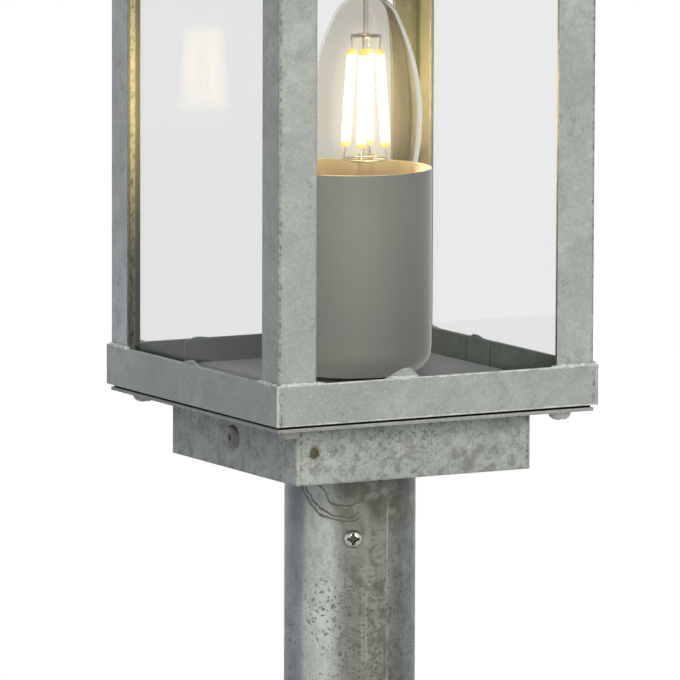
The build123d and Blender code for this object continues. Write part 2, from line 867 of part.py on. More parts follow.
with BuildPart() as bulb_cap:
    with BuildSketch(holder_plane):
        with BuildLine():
            Polyline(
                (insulator_top / 2 - cap_floor, cap_bottom),
                (cap_diameter / 2, cap_bottom),
                (cap_diameter / 2, cap_rim),
                (cap_diameter / 2 - cap_wall, cap_rim),
                (cap_diameter / 2 - cap_wall, cap_bottom + cap_floor),
                (insulator_top / 2 - cap_floor, cap_bottom + cap_floor),
                close=True,
            )
        make_face()
    revolve(axis=holder_axis)
save(bulb_cap, "bulb_cap")

with BuildPart() as cap_insulator:
    with BuildSketch(holder_level(insulator_bottom)):
        Circle(insulator_foot / 2)
    with BuildSketch(holder_level(cap_bottom)):
        Circle(insulator_top / 2)
    loft()
save(cap_insulator, "cap_insulator")

with BuildPart() as foot_contact:
    with BuildSketch(holder_level(foot_bottom)):
        Circle(foot_diameter / 2)
    extrude(amount=foot_height)
    chamfer(edges().group_by(Axis.Z)[0], foot_height / 3)
save(foot_contact, "foot_contact")

# Glass stem that closes the neck and carries the filaments
stem_bottom = cap_rim - bulb_tuck
stem_top = cap_rim + stem_height
with BuildPart() as bulb_stem:
    with BuildSketch(holder_plane):
        with BuildLine():
            flare = bulb_neck / 2 - bulb_wall - thread_fit
            Polyline(
                (0, stem_bottom),
                (flare, stem_bottom),
                (flare, stem_bottom + bulb_wall),
                (stem_neck / 2, cap_rim + stem_shoulder),
                (stem_neck / 2, stem_top),
                (rod_diameter / 2, stem_top),
                (rod_diameter / 2, cap_rim + rod_top),
                (0, cap_rim + rod_top),
                close=True,
            )
        make_face()
    revolve(axis=holder_axis)
save(bulb_stem, "bulb_stem")


def around(circle, height, turn):
    """A point on a circle round the bulb's axis, at a height above the cap's rim."""
    angle = radians(turn)
    return Vector(holder_offset + circle / 2 * cos(angle), circle / 2 * sin(angle), cap_rim + height)


def bar_between(start, end, diameter):
    """A straight round bar between two points."""
    with BuildPart() as bar:
        with BuildSketch(Plane(start, z_dir=end - start)):
            Circle(diameter / 2)
        extrude(amount=(end - start).length)
    return bar.part


filament_turns = [filament_turn + 360 / filament_count * number for number in range(filament_count)]
with BuildPart() as filaments:
    for turn in filament_turns:
        low = around(filament_low_circle, filament_low, turn)
        high = around(filament_high_circle, filament_high, turn)
        add(bar_between(low, high, filament_diameter))
    fillet(edges().filter_by(GeomType.CIRCLE), filament_round)
save(filaments, "filaments")

# Two wire rings, each with a leg to every filament and two arms to the glass
rings = (
    (lower_ring_circle, lower_ring_height, filament_low_circle, filament_low - wire_end, stem_neck),
    (upper_ring_circle, upper_ring_height, filament_high_circle, filament_high + wire_end, rod_diameter),
)
with BuildPart() as filament_wires:
    for ring_circle, ring_height, end_circle, end_height, glass in rings:
        with BuildSketch(holder_plane):
            with Locations((ring_circle / 2, cap_rim + ring_height)):
                Circle(wire_diameter / 2)
        revolve(axis=holder_axis)
        for turn in filament_turns:
            ring_point = around(ring_circle, ring_height, turn)
            add(bar_between(ring_point, around(end_circle, end_height, turn), wire_diameter))
        for turn in filament_turns[:2]:
            for side in (0, 180):
                glass_point = around(glass + 2 * thread_fit, ring_height, turn + side)
                add(bar_between(glass_point, around(ring_circle, ring_height, turn + side), wire_diameter))
save(filament_wires, "filament_wires")
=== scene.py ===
"""Looks of a garden pedestal light: a glazed galvanised lantern on a round post.

Metres, +Z up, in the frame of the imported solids. The front of the lantern looks
along -Y and its left side along -X.
"""
import json
import logging
import math
from dataclasses import dataclass, replace
from enum import Enum
from functools import cached_property, reduce

import bmesh
import bpy
from mathutils import Matrix, Vector, noise

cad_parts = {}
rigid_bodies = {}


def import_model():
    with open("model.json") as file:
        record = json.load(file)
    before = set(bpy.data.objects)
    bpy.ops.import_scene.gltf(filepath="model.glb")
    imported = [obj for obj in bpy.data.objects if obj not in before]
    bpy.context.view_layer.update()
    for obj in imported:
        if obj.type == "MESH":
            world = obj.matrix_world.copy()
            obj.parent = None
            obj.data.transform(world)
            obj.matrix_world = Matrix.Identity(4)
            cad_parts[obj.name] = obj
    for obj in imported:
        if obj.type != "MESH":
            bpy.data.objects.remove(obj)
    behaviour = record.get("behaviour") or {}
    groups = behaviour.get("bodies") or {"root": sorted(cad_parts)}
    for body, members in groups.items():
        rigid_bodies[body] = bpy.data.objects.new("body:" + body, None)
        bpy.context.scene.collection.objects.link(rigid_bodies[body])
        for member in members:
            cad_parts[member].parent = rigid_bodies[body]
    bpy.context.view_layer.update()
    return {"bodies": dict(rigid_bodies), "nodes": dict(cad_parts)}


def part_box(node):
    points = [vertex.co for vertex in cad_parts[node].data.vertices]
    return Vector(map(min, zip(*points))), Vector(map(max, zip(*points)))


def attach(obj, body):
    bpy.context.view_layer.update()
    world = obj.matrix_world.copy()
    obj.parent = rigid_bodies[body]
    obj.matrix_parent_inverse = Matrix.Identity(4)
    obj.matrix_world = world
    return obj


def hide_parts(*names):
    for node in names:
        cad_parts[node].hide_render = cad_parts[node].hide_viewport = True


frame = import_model()

LOG = logging.getLogger("pedestal_light")
MM = 0.001
IMAGE_SIDE = 680
PANE_END = 48.2 * MM
VENT_FROM_CORNER = 6.0 * MM
VENT_RISE = 9.6 * MM
SAME_POINT = 0.002 * MM
SHARP_ANGLE = math.radians(38)
WHITE = (1.0, 1.0, 1.0)

Colour = tuple[float, float, float]
Triple = tuple[float, float, float]
Value = bpy.types.NodeSocket | float | Colour
Material = bpy.types.Material
Shape = bmesh.types.BMesh
Stops = tuple[tuple[float, float], ...]


class Body(str, Enum):
    """The rigid bodies that pieces ride on."""

    BASE = "base"
    LANTERN = "lantern"
    BULB = "bulb"


class ScrewFace(Enum):
    """How a screw's face looks: the key of its finish."""

    BRIGHT = "bright"
    DULL = "dull"
    ZINC = "zinc"


class Side(Enum):
    """The four sides of the lantern, each with its outward direction."""

    FRONT = (0.0, -1.0)
    BACK = (0.0, 1.0)
    LEFT = (-1.0, 0.0)
    RIGHT = (1.0, 0.0)


class NodeBench:
    """The nodes of one material or world, laid out by short calls."""

    def __init__(self, name: str, kind: str = "materials") -> None:
        """Starts with no nodes.

        Args:
            name: The name of the material or world.
            kind: Where it is kept: materials or worlds.
        """
        self.owner = getattr(bpy.data, kind).new(name)
        self.owner.use_nodes = True
        self.tree = self.owner.node_tree
        self.tree.nodes.clear()

    @cached_property
    def place(self) -> Value:
        """Object coordinates."""
        return self.add("ShaderNodeTexCoord").outputs["Object"]

    def feed(self, socket: bpy.types.NodeSocket, value: Value) -> None:
        """Links or sets one input.

        Args:
            socket: The input.
            value: A socket to link, or a number, colour or vector to set.
        """
        if isinstance(value, bpy.types.NodeSocket):
            self.tree.links.new(value, socket)
        elif socket.type == "RGBA":
            socket.default_value = (*value[:3], 1.0)
        else:
            socket.default_value = value

    def add(self, kind: str, *ordered: Value, **named: Value | str | int) -> bpy.types.Node:
        """Adds a node.

        Args:
            kind: The node's type.
            ordered: Values of its first inputs, in their order.
            named: Values by input name, with _ for a space. A name in small letters is a setting.

        Returns:
            The node.
        """
        node = self.tree.nodes.new(kind)
        for name, value in named.items():
            if name.islower():
                setattr(node, name, value)
            else:
                self.feed(node.inputs[name.replace("_", " ")], value)
        for socket, value in zip(node.inputs, ordered):
            self.feed(socket, value)
        return node

    def moved(self, place: Value | None = None, **moves: Triple) -> Value:
        """A vector, or Object coordinates, after a Scale, a Rotation or a shift of Location."""
        return self.add("ShaderNodeMapping", Vector=place or self.place, **moves).outputs[0]

    def noise(self, scale: float, detail: float = 2.0, wander: float = 0.0, **moves: Triple) -> Value:
        """Cloudy noise from 0 to 1: clouds a metre, octaves, how it bends and how it is moved."""
        place = self.moved(**moves) if moves else self.place
        return self.add("ShaderNodeTexNoise", place, Scale=scale, Detail=detail, Distortion=wander).outputs[0]

    def marks(
        self, scale: float, detail: float, limits: tuple[float, ...], wander: float = 0.0, **moves: Triple
    ) -> Value:
        """Noise mapped to marks. The limits are its start and end, and the least and most it then gives."""
        return self.span(self.noise(scale, detail, wander, **moves), *limits)

    def ragged(self, scale: float, reach: float) -> Value:
        """Object coordinates pushed about by noise, so that marks have ragged rims.

        Args:
            scale: Clouds per metre.
            reach: How far a place is pushed.

        Returns:
            The vector socket.
        """
        cloud = self.add("ShaderNodeTexNoise", Vector=self.place, Scale=scale, Detail=2.0).outputs["Color"]
        push = self.vector("SUBTRACT", cloud, (0.5, 0.5, 0.5))[0]
        push = self.add("ShaderNodeVectorMath", push, operation="SCALE", Scale=reach).outputs[0]
        return self.vector("ADD", self.place, push)[0]

    def vector(self, kind: str, first: Value, second: Value) -> bpy.types.NodeOutputs:
        """The results of arithmetic on two vectors, such as DOT_PRODUCT."""
        return self.add("ShaderNodeVectorMath", first, second, operation=kind).outputs

    def parts(self, place: Value) -> tuple[Value, ...]:
        """The three numbers of a vector."""
        return tuple(self.add("ShaderNodeSeparateXYZ", place).outputs)

    def height(self) -> Value:
        """How high a place is."""
        return self.parts(self.place)[2]

    def corner(self, place: Value) -> Value:
        """How far a place is from the nearer of the two upright planes through the axis."""
        x, y, _ = self.parts(place)
        return self.sum("MINIMUM", self.sum("ABSOLUTE", x), self.sum("ABSOLUTE", y))

    def facing(self) -> Value:
        """The way that a face looks."""
        return self.add("ShaderNodeTexCoord").outputs["Normal"]

    def outside(self) -> Value:
        """1 on faces that look away from the light's axis, 0 on those that look at it."""
        turned = self.vector("DOT_PRODUCT", self.facing(), self.moved(Scale=(1.0, 1.0, 0.0)))["Value"]
        return self.span(turned, -2.0 * MM, 2.0 * MM)

    def sideways(self) -> Value:
        """1 on faces that look left or right, 0 on those that look to the front or back."""
        return self.span(self.sum("ABSOLUTE", self.parts(self.facing())[0]), 0.4, 0.6)

    def span(self, value: Value, start: float, end: float, low: float = 0.0, high: float = 1.0) -> Value:
        """Maps the range from start to end onto low to high, and holds it there."""
        return self.add("ShaderNodeMapRange", value, start, end, low, high).outputs[0]

    def sum(self, kind: str, *values: Value) -> Value:
        """Arithmetic on one or two values, such as ABSOLUTE."""
        return self.add("ShaderNodeMath", *values, operation=kind).outputs[0]

    def times(self, *values: Value) -> Value:
        """All the values multiplied."""
        return reduce(lambda first, second: self.sum("MULTIPLY", first, second), values)

    def most(self, *values: Value) -> Value:
        """The greatest of the values."""
        return reduce(lambda first, second: self.sum("MAXIMUM", first, second), values)

    def gap(self, first: Value, second: Value) -> Value:
        """How far two values are apart."""
        return self.sum("ABSOLUTE", self.sum("SUBTRACT", first, second))

    def rays(self, *kinds: str) -> Value:
        """1 for rays of any of these kinds, such as Camera, and 0 for others."""
        path = self.add("ShaderNodeLightPath").outputs
        return self.most(*(path[f"Is {kind} Ray"] for kind in kinds))

    def mix(self, share: Value, first: Value, second: Value, blend: str = "MIX") -> Value:
        """Mixes two colours.

        Args:
            share: How much of the second colour shows.
            first: The first colour.
            second: The second colour.
            blend: How they are blended.

        Returns:
            The mixed colour.
        """
        node = self.add("ShaderNodeMix", share, data_type="RGBA", blend_type=blend)
        self.feed(node.inputs[6], first)
        self.feed(node.inputs[7], second)
        return node.outputs[2]

    def shade(self, colour: Value, by: Value) -> Value:
        """Multiplies one colour by another."""
        return self.mix(1.0, colour, by, "MULTIPLY")

    def ramp(self, value: Value, stops: Stops, blues: tuple[float, ...] = ()) -> Value:
        """Shades of grey along a value.

        Args:
            value: From 0 to 1.
            stops: Places along the value, each with its shade.
            blues: How much bluer than grey each shade is, where they are not all grey.

        Returns:
            The shade as a colour.
        """
        node = self.add("ShaderNodeValToRGB", Fac=value)
        elements = node.color_ramp.elements
        while len(elements) < len(stops):
            elements.new(1.0)
        for element, (place, shade), blue in zip(elements, stops, blues or (0.0,) * len(stops)):
            element.position = place
            element.color = (shade * (1.0 - 0.5 * blue), shade, shade * (1.0 + blue), 1.0)
        return node.outputs["Color"]

    def rounded_edges(self, radius: float) -> tuple[Value, Value]:
        """Rounds the look of edges and finds them.

        Args:
            radius: How wide an edge looks.

        Returns:
            The rounded normal, and how near an edge a place is.
        """
        rounded = self.add("ShaderNodeBevel", Radius=radius, samples=6).outputs[0]
        true_normal = self.add("ShaderNodeNewGeometry").outputs["True Normal"]
        bend = self.vector("DOT_PRODUCT", rounded, true_normal)["Value"]
        return rounded, self.span(bend, 1.0, 0.72)

    def bump(self, height: Value, strength: float, depth: float, **start: Value) -> Value:
        """The normal bumped by a height map, where a height of 1 stands for the depth."""
        bump = self.add("ShaderNodeBump", Height=height, Strength=strength, Distance=depth, **start)
        return bump.outputs[0]

    def painted(self, **inputs: Value) -> Material:
        """Ends the material with one shader that has these inputs, and returns it."""
        return self.surface(self.add("ShaderNodeBsdfPrincipled", **inputs))

    def surface(self, shader: bpy.types.Node, kind: str = "Material") -> bpy.types.ID:
        """Ends the nodes with a shader and returns the material or world."""
        self.add("ShaderNodeOutput" + kind, Surface=shader.outputs[0])
        return self.owner


# Finishes


@dataclass(frozen=True)
class GalvanisedFinish:
    """Dipped zinc on steel: softly clouded, with pits, tide lines, bright edges that are partly worn zinc and
    partly painted highlight, and painted shade on the inner faces.
    """

    name: str
    pale: Colour = (0.47, 0.492, 0.462)
    dull: Colour = (0.335, 0.357, 0.34)
    stain: Colour = (0.085, 0.082, 0.062)
    bright: Colour = (0.80, 0.82, 0.79)
    # Colour of the dark grain spots and of the painted shadow line on the inner faces.
    inside_stain_and_shadow: Colour = (0.05, 0.055, 0.03)
    pits: float = 0.55
    pits_from: float = 0.50
    pit_scale: float = 620.0
    edge_pits: float = 0.65
    tide_lines: float = 0.0
    line_scale: float = 95.0
    streaks: float = 0.15
    stained_from: float = -1.0
    stained_to: float = 0.0
    edge_radius: float = 0.9 * MM
    half: float = 0.0
    # Heights of rail edges that get bright lines, partly worn zinc and partly painted highlight.
    edge_heights: tuple[float, ...] = ()
    # Painted shade on the inner faces: first for faces that look to the front or back, then for faces that
    # look to the sides.
    inside_painted_shade: Colour = WHITE
    side_inside_painted_shade: Colour = WHITE
    gloss: float = 0.40
    inside_gloss: float = 0.12
    inside_polish: float = 1.0
    inside_edge: float = 0.0
    jitter: Triple = (0.3, 0.1, 0.2)

    def material(self) -> Material:
        """Makes the material.

        Returns:
            The material.
        """
        bench = NodeBench(self.name)
        broad = bench.noise(30.0, 4.0)
        cloud = bench.noise(140.0, 5.0, 0.6)
        grain = bench.noise(1250.0)
        outside = bench.outside()
        colour = bench.mix(bench.span(cloud, 0.36, 0.66), self.pale, self.dull)
        colour = bench.mix(bench.span(broad, 0.40, 0.62, 0.0, 0.9), colour, self.dull)
        colour = bench.mix(bench.span(grain, 0.52, 0.74, 0.0, 0.17), colour, self.bright)
        colour = bench.mix(bench.span(grain, 0.47, 0.28, 0.0, 0.12), colour, self.stain)
        streak = bench.marks(300.0, 3.0, (0.50, 0.74, 0.0, self.streaks), Scale=(1.0, 1.0, 0.045))
        colour = self.weathered_and_lit(bench, bench.mix(streak, colour, self.dull))
        normal, edge = bench.rounded_edges(self.edge_radius)
        pit = bench.most(self.pit_mask(bench), self.edge_pit_mask(bench, edge))
        line = self.line_mask(bench)
        colour = bench.mix(pit, colour, self.stain)
        colour = bench.mix(line, colour, self.stain)
        # Edges brightened: partly worn zinc, partly painted highlight.
        rubbed_and_lit = bench.marks(420.0, 2.0, (0.3, 0.6, 0.3, 0.95))
        colour = bench.mix(bench.times(bench.span(edge, 0.45, 0.85), rubbed_and_lit), colour, self.bright)
        colour = self.edged(bench, colour)
        # Painted shade: the inner faces are darkened, by one colour on front and back faces and another on
        # side faces.
        tint = bench.mix(bench.sideways(), self.inside_painted_shade, self.side_inside_painted_shade)
        colour = bench.shade(colour, bench.mix(outside, tint, WHITE))
        # Dark grain spots and a painted shadow line along the free edges of the inner faces.
        if self.inside_edge:
            colour = bench.mix(self.inside_grain_and_shadow_mask(bench, outside), colour, self.inside_stain_and_shadow)
        height = bench.sum("ADD", cloud, bench.times(grain, 0.20))
        height = bench.sum("SUBTRACT", height, bench.times(bench.sum("ADD", pit, line), 0.6))
        rough = bench.span(cloud, 0.3, 0.7, 0.30, 0.46)
        return bench.painted(
            Base_Color=colour,
            Roughness=bench.times(rough, bench.span(outside, 0.0, 1.0, self.inside_polish, 1.0)),
            Specular_IOR_Level=bench.span(outside, 0.0, 1.0, self.inside_gloss, self.gloss),
            Normal=bench.bump(height, 0.5, 0.5 * MM, Normal=normal),
        )

    def inside_grain_and_shadow_mask(self, bench: NodeBench, outside: Value) -> Value:
        """Dark grain spots on the inner faces, and a painted shadow line along their free edges.

        Args:
            bench: The material's nodes.
            outside: Whether a place is on an outer face.

        Returns:
            How dark a place is.
        """
        reach = bench.corner(bench.ragged(500.0, 0.5 * MM))
        line = bench.span(reach, self.inside_edge + 2.1 * MM, self.inside_edge + 1.6 * MM, 0.0, 0.9)
        spots = bench.marks(700.0, 3.0, (0.50, 0.62, 0.0, 0.7), 0.6, Scale=(1.0, 1.0, 0.6))
        return bench.times(bench.most(line, spots), bench.span(outside, 0.0, 1.0, 1.0, 0.0))

    def weathered_and_lit(self, bench: NodeBench, colour: Value) -> Value:
        """Colour after weathering and any painted light; plain sheet has neither, so it stays as it is."""
        return colour

    def edged(self, bench: NodeBench, colour: Value) -> Value:
        """Bright lines along the corners and the rails' edges, partly worn zinc and partly painted highlight,
        and dark dots beside the corners, partly pits and partly painted shade.

        Args:
            bench: The material's nodes.
            colour: The zinc's own colour.

        Returns:
            The colour with its lines.
        """
        place = bench.ragged(500.0, 0.7 * MM)
        corner = bench.corner(place)
        sideways = bench.sideways()
        lines: list[Value] = []
        if self.half:
            lines.append(bench.span(corner, self.half - 0.75 * MM, self.half - 0.5 * MM, 0.0, 0.6))
        for level in self.edge_heights:
            lines.append(bench.span(bench.gap(bench.parts(place)[2], level), 0.55 * MM, 0.25 * MM))
        broken = bench.marks(260.0, 3.0, (0.32, 0.56, 0.25, 0.9))
        broken = bench.times(broken, bench.span(sideways, 0.0, 1.0, 1.0, 0.35))
        for line in lines:
            colour = bench.mix(bench.times(line, broken), colour, self.bright)
        # Dark dots beside the corners: partly pits, partly painted shade.
        if self.half:
            beside = bench.times(
                bench.span(corner, self.half - 2.2 * MM, self.half - 1.5 * MM),
                bench.span(corner, self.half - 0.9 * MM, self.half - 1.3 * MM),
                bench.marks(700.0, 2.0, (0.46, 0.62, 0.0, 0.8), Location=(0.1, 0.6, 0.3)),
                bench.span(sideways, 0.0, 1.0, 1.0, 0.3),
            )
            colour = bench.mix(beside, colour, self.stain)
        return colour

    def stained_zone(self, bench: NodeBench) -> Value:
        """How stained a place is by its height: all of it where no heights are given."""
        return bench.span(bench.height(), self.stained_from, self.stained_to, 0.25, 1.0)

    def pit_mask(self, bench: NodeBench) -> Value:
        """Small dark pits in clusters.

        Args:
            bench: The material's nodes.

        Returns:
            How much of a pit a place is.
        """
        dots = bench.marks(self.pit_scale, 3.0, (0.57, 0.65), Location=self.jitter)
        thick = (self.pits_from, self.pits_from + 0.14, 0.0, self.pits)
        clusters = bench.marks(60.0, 3.0, thick, Location=self.jitter)
        return bench.times(dots, clusters, self.stained_zone(bench))

    def edge_pit_mask(self, bench: NodeBench, edge: Value) -> Value:
        """Dotted pits in the thin line beside a bright edge."""
        dots = bench.marks(760.0, 2.0, (0.44, 0.60, 0.12, self.edge_pits), Location=(0.5, 0.2, 0.7))
        return bench.times(bench.ramp(edge, ((0.0, 0.0), (0.06, 1.0), (0.28, 1.0), (0.42, 0.0))), dots)

    def line_mask(self, bench: NodeBench) -> Value:
        """Thin wandering tide lines.

        Args:
            bench: The material's nodes.

        Returns:
            How much of a line a place is.
        """
        waves = bench.noise(self.line_scale, 3.0, 1.2, Location=(0.7, 0.4, 0.1))
        patch = bench.marks(70.0, 2.0, (0.44, 0.56, 0.0, self.tide_lines), Location=(0.2, 0.9, 0.5))
        return bench.times(bench.span(bench.gap(waves, 0.5), 0.018, 0.005), patch, self.stained_zone(bench))


@dataclass(frozen=True)
class BoxFinish(GalvanisedFinish):
    """Galvanised box with grime towards its foot and a brown run from its vent."""

    vent: Triple = (0.0, 0.0, 0.0)
    vent_reach: float = 3.0 * MM
    grime: Colour = (0.105, 0.102, 0.08)
    brown: Colour = (0.10, 0.085, 0.042)

    def weathered_and_lit(self, bench: NodeBench, colour: Value) -> Value:
        """Colour with the grime and the brown run.

        Args:
            bench: The material's nodes.
            colour: The zinc's own colour.

        Returns:
            The stained colour.
        """
        rise = bench.span(bench.height(), self.stained_from, self.stained_to, 0.95, 0.45)
        grime = bench.marks(260.0, 8.0, (0.48, 0.62, 0.0, 0.58), 0.74)
        colour = bench.mix(bench.times(grime, rise), colour, self.grime)
        away = bench.vector("DISTANCE", bench.ragged(300.0, 4.0 * MM), self.vent)["Value"]
        run = bench.span(away, self.vent_reach, 0.5 * self.vent_reach, 0.0, 0.85)
        return bench.mix(run, colour, self.brown)


@dataclass(frozen=True)
class PostFinish(GalvanisedFinish):
    """Galvanised tube with a long weld seam, drawn lines, the marks of a dip and painted highlight and shade
    round it.
    """

    radius: float = 20.0 * MM
    top: float = 0.278
    seam_turn: float = -28.3
    wander: float = 4.0 * MM
    # Colour of darker brownish patches just under the box, on the right half.
    top_patch: Colour = (0.085, 0.080, 0.052)
    grime: Colour = (0.064, 0.067, 0.048)
    drawn_lines: tuple[float, ...] = (1.3 * MM, 3.6 * MM, 4.9 * MM, 11.2 * MM)
    arcs: tuple[float, ...] = (14.2 * MM, 12.9 * MM, 9.6 * MM)
    # Painted highlight and shade across the tube, partly real zinc bands: bluer edges, a bright band left of
    # the middle and darker ground to the right.
    blues: tuple[float, ...] = (0.12, 0.12, 0.06, 0.0, 0.0, -0.02, -0.05, -0.06, -0.06, -0.06, -0.02, 0.10)
    shades: Stops = (
        (0.00, 0.90),
        (0.08, 0.71),
        (0.13, 0.80),
        (0.17, 1.33),
        (0.34, 1.40),
        (0.42, 0.76),
        (0.47, 0.48),
        (0.56, 0.41),
        (0.61, 0.58),
        (0.76, 0.58),
        (0.86, 0.37),
        (0.97, 0.46),
    )
    strips: Stops = (
        (0.62, 0.0),
        (0.65, 1.0),
        (0.75, 1.0),
        (0.77, 0.0),
        (0.81, 0.0),
        (0.83, 1.0),
        (0.89, 1.0),
        (0.92, 0.0),
    )

    def seen(self, bench: NodeBench, place: Value) -> tuple[Value, ...]:
        """Places across the tube, through it and along it, seen square to the seam."""
        return bench.parts(bench.moved(place, Rotation=(0.0, 0.0, math.radians(-self.seam_turn))))

    def weathered_and_lit(self, bench: NodeBench, colour: Value) -> Value:
        """Bands round the tube that are partly dull and bright zinc and partly painted highlight and shade,
        drifting with the height; darker brownish patches just under the box and grime on the right half; and
        thin drawn lines.

        Args:
            bench: The material's nodes.
            colour: The zinc's own colour.

        Returns:
            The banded colour.
        """
        # Painted highlight and shade across the tube, partly real zinc bands, laid out square to the seam.
        across, through, along = self.seen(bench, bench.place)
        drift = bench.noise(42.0, 3.0, Scale=(1.0, 1.0, 0.35))
        drift = bench.times(bench.sum("SUBTRACT", drift, 0.5), self.wander)
        place = bench.span(bench.sum("ADD", across, drift), -self.radius, self.radius)
        colour = bench.shade(colour, bench.ramp(place, self.shades, self.blues))
        # Darker brownish patches just under the box, on the right half.
        right = bench.span(across, -6.0 * MM, 2.0 * MM, 0.3, 1.0)
        zone = bench.span(along, self.top - 20.0 * MM, self.top - 12.0 * MM)
        top_patch = bench.marks(170.0, 6.0, (0.40, 0.58, 0.10, 0.95), 0.6)
        colour = bench.mix(bench.times(top_patch, zone, right), colour, self.top_patch)
        grime = bench.marks(330.0, 6.0, (0.48, 0.66, 0.0, 0.68), 0.70, Scale=(1.0, 1.0, 0.6))
        colour = bench.mix(bench.times(grime, right), colour, self.grime)
        low = bench.span(along, self.top - 10.0 * MM, self.top - 14.0 * MM)
        patch = bench.marks(130.0, 2.0, (0.40, 0.60, 0.0, 0.4), Scale=(1.0, 1.0, 0.3))
        patch = bench.times(patch, low, bench.sum("LESS_THAN", through, 0.0))
        for line in self.drawn_lines:
            drawn = bench.span(bench.gap(across, line), 0.35 * MM, 0.10 * MM)
            colour = bench.mix(bench.times(drawn, patch), colour, self.pale)
        return colour

    def pit_mask(self, bench: NodeBench) -> Value:
        """Round pits that thicken down the tube, and short cross dashes between the drawn lines.

        Args:
            bench: The material's nodes.

        Returns:
            How much of a pit a place is.
        """
        across, _, along = self.seen(bench, bench.place)
        cells = bench.add("ShaderNodeTexVoronoi", Vector=bench.ragged(900.0, 1.8 * MM), Scale=760.0).outputs
        dots = bench.span(cells["Distance"], 0.44, 0.26)
        some = bench.span(bench.parts(cells["Color"])[0], 0.15, 0.55)
        cluster = bench.marks(48.0, 3.0, (0.28, 0.42, 0.1, self.pits), Location=self.jitter)
        low = bench.span(along, self.top - 22.0 * MM, self.top - 42.0 * MM, 0.15, 1.0)
        strips = bench.ramp(bench.span(across, -self.radius, self.radius), self.strips)
        ladder = bench.marks(420.0, 4.0, (0.52, 0.62, 0.0, 0.55), Scale=(0.8, 0.8, 1.7))
        return bench.most(bench.times(dots, some, cluster, low), bench.times(ladder, strips))

    def line_mask(self, bench: NodeBench) -> Value:
        """Adds the arcs left by the dip to the tide lines.

        Args:
            bench: The material's nodes.

        Returns:
            How much of a line a place is.
        """
        mask = super().line_mask(bench)
        across, through, along = self.seen(bench, bench.ragged(160.0, 5.0 * MM))
        flat = bench.add("ShaderNodeCombineXYZ", X=across, Z=along).outputs[0]
        away = bench.vector("DISTANCE", flat, (-1.0 * MM, 0.0, self.top - 1.5 * MM))["Value"]
        shown = bench.span(across, 5.0 * MM, 1.0 * MM, 0.0, 0.86)
        shown = bench.times(bench.sum("LESS_THAN", through, 0.0), shown)
        for arc in self.arcs:
            line = bench.span(bench.gap(away, arc), 0.46 * MM, 0.14 * MM)
            mask = bench.most(mask, bench.times(line, shown))
        return mask


@dataclass(frozen=True)
class MetalFinish:
    """Bare or plated metal with a brushed, slightly tarnished face."""

    name: str
    colour: Colour
    tarnish: Colour
    smooth: float = 0.22
    rough: float = 0.42
    grain: float = 900.0

    def material(self) -> Material:
        """Makes the material.

        Returns:
            The material.
        """
        bench = NodeBench(self.name)
        fine = bench.noise(self.grain)
        cloud = bench.marks(self.grain * 0.35, 3.0, (0.40, 0.72))
        return bench.painted(
            Base_Color=bench.mix(cloud, self.colour, self.tarnish),
            Metallic=1.0,
            Roughness=bench.span(fine, 0.3, 0.7, self.smooth, self.rough),
            Normal=bench.bump(fine, 0.12, 0.1 * MM),
        )


@dataclass(frozen=True)
class CoatFinish:
    """Paint, rubber, plastic or glaze: one colour that drifts, with a fine surface, and where asked painted
    light and shade: one side lighter, the foot and inner faces darker.
    """

    name: str
    colour: Colour
    drift: Colour
    smooth: float = 0.45
    rough: float = 0.60
    grain: float = 1600.0
    depth: float = 0.08 * MM
    gloss: float = 0.5
    sheen: float = 0.0
    # Painted shade on inner faces.
    inside_shade: float = 1.0
    # Painted light: lighter towards one side, across this range of x.
    painted_light_from: float = 0.0
    painted_light_to: float = 0.0
    painted_light: float = 1.0
    # Painted shade: darker towards the foot over this height.
    foot: float = 0.0
    foot_height: float = 40.0 * MM
    foot_shade: float = 1.0

    def material(self) -> Material:
        """Makes the material.

        Returns:
            The material.
        """
        bench = NodeBench(self.name)
        fine = bench.noise(self.grain)
        across, _, height = bench.parts(bench.place)
        colour = bench.mix(bench.marks(60.0, 3.0, (0.35, 0.68)), self.colour, self.drift)
        # Painted light and shade: lighter towards one side, darker towards the foot, darker on inner faces.
        grades = (
            (bench.span(across, self.painted_light_from, self.painted_light_to), self.painted_light),
            (bench.span(height, self.foot, self.foot + self.foot_height), self.foot_shade),
            (bench.outside(), self.inside_shade),
        )
        for place, shade in grades:
            if shade != 1.0:
                colour = bench.shade(colour, bench.ramp(place, ((0.0, shade), (1.0, 1.0))))
        return bench.painted(
            Base_Color=colour,
            Roughness=bench.span(fine, 0.3, 0.7, self.smooth, self.rough),
            Specular_IOR_Level=self.gloss,
            Sheen_Weight=self.sheen,
            Normal=bench.bump(fine, 0.25, self.depth),
        )


